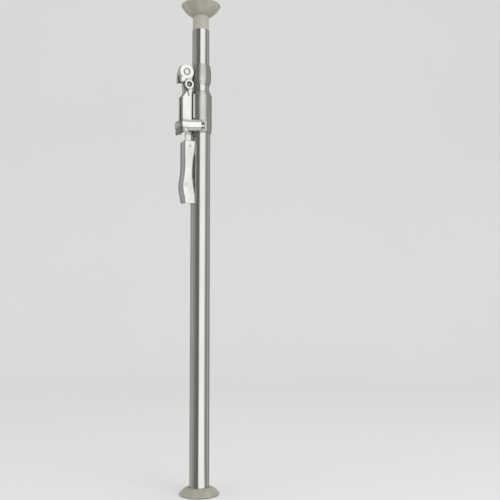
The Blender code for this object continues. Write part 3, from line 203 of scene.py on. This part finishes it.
def place_along(tree, axis):
    """Where a point is on its object along one axis."""
    parts = tree.nodes.new("ShaderNodeSeparateXYZ")
    tree.links.new(object_place(tree), parts.inputs[0])
    return parts.outputs[axis]


def noise_node(tree, place, scale, detail=3.0, roughness=0.5):
    node = tree.nodes.new("ShaderNodeTexNoise")
    values = {"Vector": place, "Scale": scale, "Detail": detail, "Roughness": roughness}
    for label, value in values.items():
        feed(tree, node.inputs[label], value)
    return node.outputs["Fac"]


def math_node(tree, operation, *values):
    node = tree.nodes.new("ShaderNodeMath")
    node.operation = operation
    for socket, value in zip(node.inputs, values):
        feed(tree, socket, value)
    return node.outputs[0]


def scaled(tree, value, factor):
    return math_node(tree, "MULTIPLY", value, factor)


def summed(tree, total, *values):
    for value in values:
        total = math_node(tree, "ADD", total, value)
    return total


def range_node(tree, value, low, high, out_low=0.0, out_high=1.0):
    """A value's range from low to high, mapped onto the range from out_low to out_high and kept in it."""
    node = tree.nodes.new("ShaderNodeMapRange")
    ends = {"Value": value, "From Min": low, "From Max": high, "To Min": out_low, "To Max": out_high}
    for label, end in ends.items():
        feed(tree, node.inputs[label], end)
    return node.outputs["Result"]


def blend_node(tree, share, first, second):
    """A colour between two colours, each a tuple or a socket."""
    node = tree.nodes.new("ShaderNodeMix")
    node.data_type = "RGBA"
    feed(tree, node.inputs["Factor"], share)
    colour_inputs = [socket for socket in node.inputs if socket.type == "RGBA"]
    for socket, colour in zip(colour_inputs, (first, second)):
        feed(tree, socket, (*colour, 1.0) if isinstance(colour, tuple) else colour)
    return next(socket for socket in node.outputs if socket.type == "RGBA")


def darker(colour, share):
    return tuple(share * part for part in colour)


def rounded_normal(tree, radius, samples=ROUNDING_SAMPLES):
    """The normal of a surface whose sharp edges are rounded in the shading."""
    node = tree.nodes.new("ShaderNodeBevel")
    node.samples = samples
    feed(tree, node.inputs["Radius"], radius)
    return node.outputs["Normal"]


def bumped_normal(tree, height, depth, normal=None):
    """The normal of a relief of a real depth, which can lie over another normal."""
    node = tree.nodes.new("ShaderNodeBump")
    node.inputs["Strength"].default_value = 1.0
    node.inputs["Distance"].default_value = depth
    feed(tree, node.inputs["Height"], height)
    if normal:
        feed(tree, node.inputs["Normal"], normal)
    return node.outputs["Normal"]


def crowned_normal(tree, radius, normal):
    """The normal of a face that bulges across Y with a radius, over another normal.

    A shallow arc falls away from its middle by half the square of the distance over the radius.
    """
    across = place_along(tree, "Y")
    fall = scaled(tree, math_node(tree, "MULTIPLY", across, across), -0.5 / radius)
    return bumped_normal(tree, fall, 1.0, normal)


def edge_wear_and_highlight_group():
    """A mask that is 1 along a piece's outer edges, broken up by handling: wear, and on castings painted
    highlight.
    """
    group, entry, leave = new_group("edge wear and painted highlight", (("Width", 0.8 * MM, 0.0, 0.01),), "Edge")
    soft = rounded_normal(group, entry.outputs["Width"], MASK_SAMPLES)
    plain = group.nodes.new("ShaderNodeNewGeometry")
    facing = group.nodes.new("ShaderNodeVectorMath")
    facing.operation = "DOT_PRODUCT"
    link_nodes(group, (soft, facing.inputs[0]), (plain.outputs["Normal"], facing.inputs[1]))
    flat, fully_on_edge = 0.995, 0.90
    rim = range_node(group, facing.outputs["Value"], flat, fully_on_edge)
    chips = noise_node(group, object_place(group), 420.0, 4.0, 0.65)
    broken = range_node(group, chips, 0.30, 0.62)
    feed(group, leave.inputs["Edge"], math_node(group, "MULTIPLY", rim, broken))
    return group


def dust_and_shade_group():
    """A mask that is 1 in corners and crevices, by ambient occlusion in patches: dirt and painted shade."""
    group, entry, leave = new_group("painted shade and dirt", (("Reach", 4.0 * MM, 0.0, 0.1),), "Dust and shade")
    hollow = group.nodes.new("ShaderNodeAmbientOcclusion")
    hollow.samples = MASK_SAMPLES
    feed(group, hollow.inputs["Distance"], entry.outputs["Reach"])
    nearly_open, deep = 0.88, 0.35
    depth = range_node(group, hollow.outputs["AO"], nearly_open, deep)
    patches = noise_node(group, object_place(group), 160.0)
    uneven = range_node(group, patches, 0.30, 0.70, 0.35, 1.0)
    feed(group, leave.inputs["Dust and shade"], math_node(group, "MULTIPLY", depth, uneven))
    return group


def stretched_grain_group():
    """Noise in the object's own metres, stretched along any axis: fine lines, grain or blotches."""
    inputs = (
        ("Lines X", 1.0, 0.0, 10000.0),
        ("Lines Y", 1.0, 0.0, 10000.0),
        ("Lines Z", 1.0, 0.0, 10000.0),
        ("Detail", 3.0, 0.0, 15.0),
    )
    group, entry, leave = new_group("stretched grain", inputs, "Grain")
    lines = group.nodes.new("ShaderNodeCombineXYZ")
    for axis in "XYZ":
        group.links.new(entry.outputs["Lines " + axis], lines.inputs[axis])
    stretch = group.nodes.new("ShaderNodeVectorMath")
    stretch.operation = "MULTIPLY"
    link_nodes(group, (object_place(group), stretch.inputs[0]), (lines.outputs["Vector"], stretch.inputs[1]))
    noise = noise_node(group, stretch.outputs["Vector"], 1.0, entry.outputs["Detail"])
    feed(group, leave.inputs["Grain"], noise)
    return group


def hairline_scratches_group():
    """Sparse thin scratches in slanting directions, as a mask.

    Each direction has a turn, and a scale that draws the noise out into lines.
    """
    slants = ((0.35, 0.05), (-0.6, 0.07), (1.2, 0.04))
    line_width = 0.006
    group, entry, leave = new_group("hairline scratches", (("Density", 60.0, 0.0, 1000.0),), "Scratch")
    place = object_place(group)
    found = 0.0
    for turn, stretch in slants:
        slant = group.nodes.new("ShaderNodeMapping")
        slant.inputs["Rotation"].default_value = (turn, turn * 0.7, turn * 1.9)
        slant.inputs["Scale"].default_value = (1.0, 1.0, stretch)
        group.links.new(place, slant.inputs["Vector"])
        field = noise_node(group, slant.outputs["Vector"], entry.outputs["Density"], 1.0)
        off_middle = math_node(group, "ABSOLUTE", math_node(group, "SUBTRACT", field, 0.5))
        line = range_node(group, off_middle, line_width, 0.0)
        found = math_node(group, "MAXIMUM", found, line)
    thinned = range_node(group, noise_node(group, place, 35.0, 2.0), 0.48, 0.68)
    feed(group, leave.inputs["Scratch"], math_node(group, "MULTIPLY", found, thinned))
    return group


def height_band_group():
    """A mask that is 1 between two heights of the object and 0 above and below them."""
    inputs = (("Low", 0.0, -10.0, 10.0), ("High", 1.0, -10.0, 10.0))
    group, entry, leave = new_group("height band", inputs, "Band")
    height = place_along(group, "Z")
    over = math_node(group, "GREATER_THAN", height, entry.outputs["Low"])
    under = math_node(group, "LESS_THAN", height, entry.outputs["High"])
    feed(group, leave.inputs["Band"], math_node(group, "MULTIPLY", over, under))
    return group


EDGES = edge_wear_and_highlight_group()
# This mask darkens corners: dirt and painted shade
DUST_AND_SHADE = dust_and_shade_group()
GRAIN = stretched_grain_group()
SCRATCHES = hairline_scratches_group()
BAND = height_band_group()


def grain_of(tree, across, along=None, detail=3.0):
    """Grain with so many features in a metre across a piece, and along its height."""
    return use_group(tree, GRAIN, Lines_X=across, Lines_Y=across, Lines_Z=along or across, Detail=detail)


def new_material(name, metallic):
    material = bpy.data.materials.new(name)
    material.use_nodes = True
    shader = material.node_tree.nodes["Principled BSDF"]
    shader.inputs["Metallic"].default_value = metallic
    return material, material.node_tree, shader


def finish_surface(tree, shader, tone, roughness, normal):
    """Colour, roughness and relief go into a material's shader."""
    for label, value in (("Base Color", tone), ("Roughness", roughness), ("Normal", normal)):
        tree.links.new(value, shader.inputs[label])


def drawn_tube():
    """Satin-polished aluminium tube: fine draw lines along it, rub marks round it."""
    bright = (0.735, 0.735, 0.71)
    hazed = (0.67, 0.672, 0.64)
    streaked = (0.59, 0.59, 0.56)
    scratched = (0.80, 0.80, 0.79)
    dirt_and_shade = (0.26, 0.25, 0.22)
    material, tree, shader = new_material("drawn aluminium tube", METAL)
    lines = grain_of(tree, 2600.0, 5.0, detail=2.0)
    rub_rings = grain_of(tree, 12.0, 900.0)
    blotches = grain_of(tree, 22.0, 7.0, detail=4.0)
    scratches = use_group(tree, SCRATCHES, Density=70.0)
    dust_and_shade = use_group(tree, DUST_AND_SHADE, Reach=5.0 * MM)
    haze = range_node(tree, blotches, 0.35, 0.70)
    tone = blend_node(tree, haze, bright, hazed)
    tone = blend_node(tree, range_node(tree, lines, 0.40, 0.66, 0.0, 0.35), tone, streaked)
    tone = blend_node(tree, scaled(tree, scratches, 0.5), tone, scratched)
    # Corners darkened grey-brown: dirt and painted shade
    tone = blend_node(tree, scaled(tree, dust_and_shade, 0.6), tone, dirt_and_shade)
    sheen = range_node(tree, haze, 0.0, 1.0, 0.11, 0.18)
    rubbed = range_node(tree, rub_rings, 0.45, 0.75, 0.0, 0.05)
    roughness = summed(tree, sheen, rubbed, scaled(tree, scratches, 0.12))
    relief = math_node(tree, "SUBTRACT", lines, scratches)
    finish_surface(tree, shader, tone, roughness, bumped_normal(tree, relief, 0.004 * MM))
    return material


def tumbled_casting(name, tones, satin, shade_and_dirt_reach=5.0 * MM, rounding=0.5 * MM, rib=None, crown=None):
    """Tumbled aluminium casting: soft grain, edge wear and painted highlight, dirt and painted shade in
    corners.

    Tones are its light and dark patches, and satin is the roughness of the light ones. Shade and dirt reach
    is how far the dirt and painted shade spread from a corner, and rounding is how soft the outer edges look.
    Rib gives the two heights between which the casting is ground bright, and the rest stays as cast. Crown is
    the radius across Y of a face that bulges slightly.
    """
    light, dark = tones
    wear_and_highlight = (0.92, 0.92, 0.90)
    dirt_and_shade = (0.13, 0.125, 0.105)
    material, tree, shader = new_material(name, METAL)
    fine = grain_of(tree, 1500.0, detail=4.0)
    edge = use_group(tree, EDGES, Width=0.9 * MM)
    dust_and_shade = use_group(tree, DUST_AND_SHADE, Reach=shade_and_dirt_reach)
    scratches = use_group(tree, SCRATCHES, Density=110.0)
    cloud = range_node(tree, grain_of(tree, 60.0, 28.0, detail=4.0), 0.32, 0.70)
    tone = blend_node(tree, cloud, light, dark)
    tone = blend_node(tree, range_node(tree, fine, 0.45, 0.70, 0.0, 0.5), tone, darker(dark, 0.84))
    polish = range_node(tree, cloud, 0.0, 1.0, satin, satin + 0.08)
    roughness = summed(tree, polish, scaled(tree, edge, -0.10), scaled(tree, dust_and_shade, 0.3))
    if rib:
        ground = use_group(tree, BAND, Low=rib[0], High=rib[1])
        tone = blend_node(tree, ground, darker(dark, 0.62), tone)
        roughness = summed(tree, roughness, range_node(tree, ground, 0.0, 1.0, 0.16, 0.0))
    # Edges lightened: wear, and painted highlight on the chamfers
    tone = blend_node(tree, edge, tone, wear_and_highlight)
    # Corners darkened: dirt and painted shade
    tone = blend_node(tree, scaled(tree, dust_and_shade, 0.85), tone, dirt_and_shade)
    normal = rounded_normal(tree, rounding)
    if crown:
        normal = crowned_normal(tree, crown, normal)
    normal = bumped_normal(tree, grain_of(tree, CAST_WAVES, CAST_WAVES / 2), CAST_WAVE_DEPTH, normal)
    normal = bumped_normal(tree, math_node(tree, "SUBTRACT", fine, scratches), 0.012 * MM, normal)
    finish_surface(tree, shader, tone, roughness, normal)
    return material


def zinc_steel():
    """Bright zinc plating with a faint blue and straw cast, scuffed on its edges."""
    blue = (0.72, 0.735, 0.76)
    straw = (0.78, 0.755, 0.685)
    wear_and_highlight = (0.90, 0.90, 0.89)
    dirt_and_shade = (0.07, 0.065, 0.055)
    material, tree, shader = new_material("zinc-plated steel", METAL)
    fine = grain_of(tree, 2400.0, 260.0, detail=2.0)
    edge = use_group(tree, EDGES, Width=0.35 * MM)
    dust_and_shade = use_group(tree, DUST_AND_SHADE, Reach=3.0 * MM)
    tone = blend_node(tree, range_node(tree, grain_of(tree, 140.0), 0.35, 0.68), blue, straw)
    tone = blend_node(tree, edge, tone, wear_and_highlight)
    # Corners darkened near black: dirt and painted shade
    tone = blend_node(tree, scaled(tree, dust_and_shade, 0.9), tone, dirt_and_shade)
    roughness = summed(tree, range_node(tree, fine, 0.35, 0.70, 0.17, 0.30), scaled(tree, dust_and_shade, 0.3))
    normal = bumped_normal(tree, fine, 0.006 * MM, rounded_normal(tree, 0.25 * MM))
    finish_surface(tree, shader, tone, roughness, normal)
    return material


def blued_spring():
    """Dark blued spring wire with a mottled scale, darker in its corners as dirt and painted shade."""
    blued = (0.075, 0.08, 0.10)
    rubbed = (0.16, 0.155, 0.15)
    dirt_and_shade = (0.03, 0.028, 0.025)
    material, tree, shader = new_material("blued spring steel", METAL)
    scale = grain_of(tree, 500.0)
    tone = blend_node(tree, range_node(tree, scale, 0.35, 0.65), blued, rubbed)
    tone = blend_node(tree, use_group(tree, DUST_AND_SHADE, Reach=2.0 * MM), tone, dirt_and_shade)
    roughness = range_node(tree, scale, 0.3, 0.7, 0.25, 0.42)
    finish_surface(tree, shader, tone, roughness, bumped_normal(tree, scale, 0.01 * MM))
    return material


def moulded_rubber(name, neck=None):
    """Pale grey-beige rubber: moulding bloom, pores, and dirt and painted shade where it touches.

    Neck gives the two heights between which the moulding is creamier.
    """
    grey = (0.41, 0.397, 0.33)
    pale = (0.485, 0.472, 0.405)
    cream = (0.52, 0.505, 0.44)
    pitted = (0.27, 0.25, 0.20)
    wear_and_highlight = (0.62, 0.605, 0.54)
    dirt_and_shade = (0.12, 0.11, 0.09)
    material, tree, shader = new_material(name, NOT_METAL)
    pores = grain_of(tree, 900.0, detail=5.0)
    edge = use_group(tree, EDGES, Width=1.2 * MM)
    dust_and_shade = use_group(tree, DUST_AND_SHADE, Reach=7.0 * MM)
    bloom = range_node(tree, grain_of(tree, 45.0, 30.0, detail=5.0), 0.38, 0.66)
    tone = blend_node(tree, bloom, grey, pale)
    if neck:
        tone = blend_node(tree, use_group(tree, BAND, Low=neck[0], High=neck[1]), tone, cream)
    tone = blend_node(tree, range_node(tree, pores, 0.56, 0.72, 0.0, 0.5), tone, pitted)
    tone = blend_node(tree, scaled(tree, edge, 0.6), tone, wear_and_highlight)
    tone = blend_node(tree, scaled(tree, dust_and_shade, 0.75), tone, dirt_and_shade)
    roughness = range_node(tree, bloom, 0.0, 1.0, 0.52, 0.74)
    normal = bumped_normal(tree, pores, 0.05 * MM, rounded_normal(tree, 0.6 * MM))
    finish_surface(tree, shader, tone, roughness, normal)
    return material


def turned_brass():
    """Brass with turning rings, brown in its corners as dirt and painted shade."""
    bright = (0.76, 0.60, 0.32)
    dull = (0.62, 0.45, 0.21)
    dirt_and_shade = (0.16, 0.12, 0.06)
    material, tree, shader = new_material("turned brass", METAL)
    rings = use_group(tree, GRAIN, Lines_X=1800.0, Lines_Y=120.0, Lines_Z=120.0, Detail=2.0)
    dust_and_shade = use_group(tree, DUST_AND_SHADE, Reach=3.0 * MM)
    tone = blend_node(tree, rings, bright, dull)
    tone = blend_node(tree, scaled(tree, dust_and_shade, 0.8), tone, dirt_and_shade)
    roughness = range_node(tree, rings, 0.3, 0.7, 0.22, 0.38)
    finish_surface(tree, shader, tone, roughness, bumped_normal(tree, rings, 0.006 * MM))
    return material


def black_nylon():
    """Black nylon with a fine moulded grain, greyed along its edges."""
    black = (0.022, 0.022, 0.023)
    faded = (0.042, 0.042, 0.042)
    wear_and_highlight = (0.16, 0.16, 0.155)
    material, tree, shader = new_material("black nylon", NOT_METAL)
    grain = grain_of(tree, 1100.0, detail=4.0)
    edge = use_group(tree, EDGES, Width=0.5 * MM)
    tone = blend_node(tree, range_node(tree, grain, 0.4, 0.7), black, faded)
    tone = blend_node(tree, scaled(tree, edge, 0.5), tone, wear_and_highlight)
    roughness = range_node(tree, grain, 0.3, 0.7, 0.42, 0.6)
    finish_surface(tree, shader, tone, roughness, bumped_normal(tree, grain, 0.02 * MM))
    return material


def painted_socket_shade():
    """Near-black lumpy fill of a socket: painted shade in its recess."""
    dark = (0.035, 0.032, 0.028)
    pale = (0.11, 0.10, 0.085)
    material, tree, shader = new_material("painted socket shade", NOT_METAL)
    lumps = grain_of(tree, 700.0, detail=5.0)
    tone = blend_node(tree, range_node(tree, lumps, 0.35, 0.68), dark, pale)
    roughness = range_node(tree, lumps, 0.3, 0.7, 0.30, 0.55)
    finish_surface(tree, shader, tone, roughness, bumped_normal(tree, lumps, 0.15 * MM))
    return material


def seen_directly(tree):
    """1 for camera, mirror and glass rays, 0 for the rays that light other things."""
    rays = tree.nodes.new("ShaderNodeLightPath")
    kinds = ("Is Camera Ray", "Is Glossy Ray", "Is Transmission Ray")
    return summed(tree, *(rays.outputs[kind] for kind in kinds))


def floor_paper():
    """Matt studio paper that cameras and reflections see a little brighter than it is lit."""
    shaded = (0.77, 0.77, 0.762)
    lit = (0.80, 0.80, 0.795)
    glow = (1.0, 1.0, 0.99, 1)
    material, tree, shader = new_material("pale studio paper", NOT_METAL)
    tooth = grain_of(tree, 90.0, detail=6.0)
    tone = blend_node(tree, grain_of(tree, 1.4, detail=2.0), shaded, lit)
    roughness = range_node(tree, tooth, 0.3, 0.7, 0.82, 0.94)
    finish_surface(tree, shader, tone, roughness, bumped_normal(tree, tooth, 0.05 * MM))
    shader.inputs["Specular IOR Level"].default_value = 0.0
    shader.inputs["Emission Color"].default_value = glow
    tree.links.new(scaled(tree, seen_directly(tree), PAPER_GLOW), shader.inputs["Emission Strength"])
    return material


def tent_material():
    """Panels whose brightness depends only on their azimuth, from a ramp that comes with two stops."""
    material = bpy.data.materials.new("tent panels")
    material.use_nodes = True
    tree = material.node_tree
    tree.nodes.clear()
    bands = tree.nodes.new("ShaderNodeValToRGB")
    panel = tree.nodes.new("ShaderNodeEmission")
    out = tree.nodes.new("ShaderNodeOutputMaterial")
    azimuth = math_node(tree, "ARCTAN2", place_along(tree, "X"), place_along(tree, "Y"))
    brightest = max(brightness for _, brightness in TENT_BANDS)
    stops = bands.color_ramp.elements
    for index, (turn, brightness) in enumerate(TENT_BANDS):
        spot = (turn + 180) / 360
        stop = stops[index] if index < 2 else stops.new(spot)
        stop.position = spot
        share = brightness / brightest
        stop.color = (share, share, share, 1)
    panel.inputs["Strength"].default_value = brightest
    link_nodes(
        tree,
        (range_node(tree, azimuth, -math.pi, math.pi), bands.inputs["Fac"]),
        (bands.outputs["Color"], panel.inputs["Color"]),
        (panel.outputs["Emission"], out.inputs["Surface"]),
    )
    return material


def add_to_scene(name, data):
    """A new object in the scene, for a mesh, a lamp or a camera."""
    thing = bpy.data.objects.new(name, data)
    bpy.context.scene.collection.objects.link(thing)
    return thing


def add_mesh(name, shape):
    """A new object in the scene from a bmesh, which is freed."""
    mesh = bpy.data.meshes.new(name)
    shape.to_mesh(mesh)
    shape.free()
    return add_to_scene(name, mesh)


def turned(name, profile, steps, place):
    """A surface turned from (radius, along) pairs; place makes a point of a radius, a turn and an along."""
    shape = bmesh.new()
    rings = []
    for radius, along in profile:
        turns = [2 * math.pi * index / steps for index in range(steps if radius else 1)]
        rings.append([shape.verts.new(place(radius, turn, along)) for turn in turns])
    for near, far in zip(rings, rings[1:]):
        for index in range(steps):
            ahead = (index + 1) % steps
            corners = [near[index % len(near)], near[ahead % len(near)]]
            corners += [far[ahead % len(far)], far[index % len(far)]]
            shape.faces.new(list(dict.fromkeys(corners)))
    bmesh.ops.recalc_face_normals(shape, faces=shape.faces)
    return add_mesh(name, shape)


def make_floor():
    """Pale matt floor with a fine tooth that curves up into a backdrop behind the pole."""
    profile = [(-SWEEP_FRONT, 0.0)]
    for index in range(SWEEP_STEPS + 1):
        turn = math.pi / 2 * index / SWEEP_STEPS
        profile.append((SWEEP_BACK + SWEEP_BEND * math.sin(turn), SWEEP_BEND * (1 - math.cos(turn))))
    profile.append((SWEEP_BACK + SWEEP_BEND, SWEEP_HEIGHT))
    shape = bmesh.new()
    rows = []
    for away, height in profile:
        rows.append([shape.verts.new((side, away, height)) for side in (-SWEEP_SIDE, SWEEP_SIDE)])
    for (left, right), (next_left, next_right) in zip(rows, rows[1:]):
        shape.faces.new((left, right, next_right, next_left)).smooth = True
    floor = add_mesh("floor", shape)
    floor.rotation_euler = (0, 0, CAMERA_AZIMUTH - CAMERA_YAW)
    floor.data.materials.append(floor_paper())


def make_tent():
    """Soft panels round the pole that only reflections see, drawn in at the foot.

    The tent's own +Y is the camera's side.
    """

    def round_pole(radius, turn, height):
        return radius * math.cos(turn), radius * math.sin(turn), height

    tent = turned("light_tent", TENT_PROFILE, TENT_STEPS, round_pole)
    tent.visible_camera = False
    tent.visible_diffuse = False
    tent.visible_shadow = False
    tent.visible_transmission = False
    tent.visible_volume_scatter = False
    tent.data.materials.append(tent_material())
    tent.rotation_euler = (0, 0, math.pi + CAMERA_AZIMUTH)
    tent.scale = (-1, 1, 1)


def make_world():
    """White studio light; cameras and reflections see a pale backdrop."""
    world = bpy.data.worlds.new("studio")
    world.use_nodes = True
    bpy.context.scene.world = world
    tree = world.node_tree
    tree.nodes.clear()
    fill = tree.nodes.new("ShaderNodeBackground")
    fill.inputs["Color"].default_value = (1.0, 1.0, 1.0, 1)
    fill.inputs["Strength"].default_value = ROOM_LIGHT
    backdrop = tree.nodes.new("ShaderNodeBackground")
    backdrop.inputs["Color"].default_value = BACKDROP_COLOUR
    mix = tree.nodes.new("ShaderNodeMixShader")
    out = tree.nodes.new("ShaderNodeOutputWorld")
    link_nodes(
        tree,
        (seen_directly(tree), mix.inputs["Fac"]),
        (fill.outputs[0], mix.inputs[1]),
        (backdrop.outputs[0], mix.inputs[2]),
        (mix.outputs[0], out.inputs["Surface"]),
    )


def stand_at(azimuth, distance, height):
    """A place beside the pole, at an azimuth from the -Y side."""
    return Vector((math.sin(azimuth) * distance, -math.cos(azimuth) * distance, height))


def make_lamp(name, azimuth, distance, height, power):
    """A soft lamp aimed at the pole, placed by its azimuth from the camera's side."""
    data = bpy.data.lights.new(name, "AREA")
    data.shape = "RECTANGLE"
    data.size = LAMP_PANEL_WIDTH
    data.size_y = LAMP_PANEL_HEIGHT
    data.energy = power
    lamp = add_to_scene(name, data)
    lamp.location = stand_at(CAMERA_AZIMUTH + math.radians(azimuth), distance, height)
    aim = Vector((0, 0, POLE_MIDDLE)) - lamp.location
    lamp.rotation_euler = aim.to_track_quat("-Z", "Y").to_euler()
    lamp.visible_glossy = False


def make_camera():
    data = bpy.data.cameras.new("camera")
    data.sensor_width = CAMERA_SENSOR
    data.lens = CAMERA_LENS
    data.clip_end = CAMERA_FAR_END
    camera = add_to_scene("camera", data)
    bpy.context.scene.camera = camera
    camera.location = stand_at(CAMERA_AZIMUTH, CAMERA_DISTANCE, CAMERA_HEIGHT)
    camera.rotation_euler = (math.pi / 2 + CAMERA_TILT_UP, 0, CAMERA_AZIMUTH - CAMERA_YAW)


def shade_smooth(piece):
    """Round faces shade as round and flat faces as flat, with a sharp line at every real edge."""
    for face in piece.data.polygons:
        face.use_smooth = True
    joined = piece.modifiers.new("joined corners", "WELD")
    joined.merge_threshold = SPLIT_CORNER_GAP
    edges = piece.modifiers.new("sharp edges", "EDGE_SPLIT")
    edges.split_angle = SHARPEST_SMOOTH_EDGE
    edges.use_edge_sharp = False
    piece.modifiers.new("flats stay flat", "WEIGHTED_NORMAL")


def bolt_profile(near, far, flange, socket):
    """The bolt's (radius, y) outline from the riveted end of its core, out of the socket, to its far end."""
    core, shank = BOLT_CORE_RADIUS, BOLT_SHANK_RADIUS
    rim = near + BOLT_EDGE
    floor = near + BOLT_SOCKET_DEPTH
    under = near + BOLT_FLANGE_DEPTH
    dome = near + BOLT_CORE_DEPTH
    shoulder = dome + BOLT_CORE_CROWN
    core_end = [(0.0, dome), (core - BOLT_EDGE, shoulder), (core, shoulder + BOLT_EDGE), (core, floor)]
    socket_wall = [(socket, floor), (socket, rim), (socket + BOLT_EDGE, near)]
    flange_edge = [(flange - BOLT_EDGE, near), (flange, rim), (flange, under)]
    far_end = [(shank, under), (shank, far - BOLT_END_EDGE), (shank - BOLT_END_EDGE, far), (0.0, far)]
    return core_end + socket_wall + flange_edge + far_end


def shoulder_bolt(steel):
    """The strut's bolt: a flat ring of a flange, a deep socket and the riveted end of its core."""
    low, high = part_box("link_bolt")
    centre = ((low[0] + high[0]) / 2, (low[2] + high[2]) / 2)
    flange = (high[0] - low[0]) / 2
    socket = BOLT_SOCKET_SHARE * flange

    def round_bolt(radius, turn, across):
        return centre[0] + radius * math.cos(turn), across, centre[1] + radius * math.sin(turn)

    bolt = turned("shoulder_bolt", bolt_profile(low[1], high[1], flange, socket), BOLT_STEPS, round_bolt)
    shade_smooth(bolt)
    bolt.data.materials.append(steel)
    bolt.data.materials.append(painted_socket_shade())

    # The socket round the core gets the near-black fill, painted shade in its recess
    for face in bolt.data.polygons:
        reach = math.hypot(face.center.x - centre[0], face.center.z - centre[1])
        if BOLT_CORE_RADIUS < reach < socket and face.center.y < low[1] + BOLT_FLANGE_DEPTH:
            face.material_index = 1
    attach(bolt, "lever")
    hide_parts("link_bolt")


def dress_pole():
    """Each CAD node gets its slot's finish, and a few their own: brighter lever, dark spring, ground rib."""
    yoke_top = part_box("latch_yoke")[1][2]
    cup_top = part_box("ceiling_cup")[1][2]
    rib = [yoke_top - drop for drop in RIB_BELOW_TOP]
    neck = [cup_top - drop for drop in NECK_BELOW_TOP]
    steel = zinc_steel()
    shoulder_bolt(steel)
    own_finish = {
        "lever_fork": tumbled_casting("polished casting", LEVER_TONES, satin=0.20, shade_and_dirt_reach=9.0 * MM),
        "handle_grip": tumbled_casting(
            "grip casting", LEVER_TONES, satin=0.34, shade_and_dirt_reach=2.5 * MM, rounding=3.5 * MM, crown=24 * MM
        ),
        "latch_yoke": tumbled_casting("catch casting", LEVER_TONES, satin=0.20, shade_and_dirt_reach=7.0 * MM, rib=rib),
        "lever_spring": blued_spring(),
        "ceiling_cup": moulded_rubber("ceiling rubber", neck),
    }
    finishes = {
        "rubber": moulded_rubber("grey-beige rubber"),
        "anodised_tube": drawn_tube(),
        "cast_alloy": tumbled_casting("tumbled casting", BODY_TONES, satin=0.29),
        "steel": steel,
        "brass": turned_brass(),
        "nylon": black_nylon(),
    }
    for row in frame["record"]["subparts"]:
        piece = frame["nodes"][row["node"]]
        piece.data.materials.clear()
        piece.data.materials.append(own_finish.get(row["node"], finishes[row["material_slot"]]))
        shade_smooth(piece)


dress_pole()
make_floor()
make_tent()
make_world()
for lamp_name, placing in LAMPS.items():
    make_lamp(lamp_name, *placing)
make_camera()
bpy.context.scene.view_settings.view_transform = "Standard"
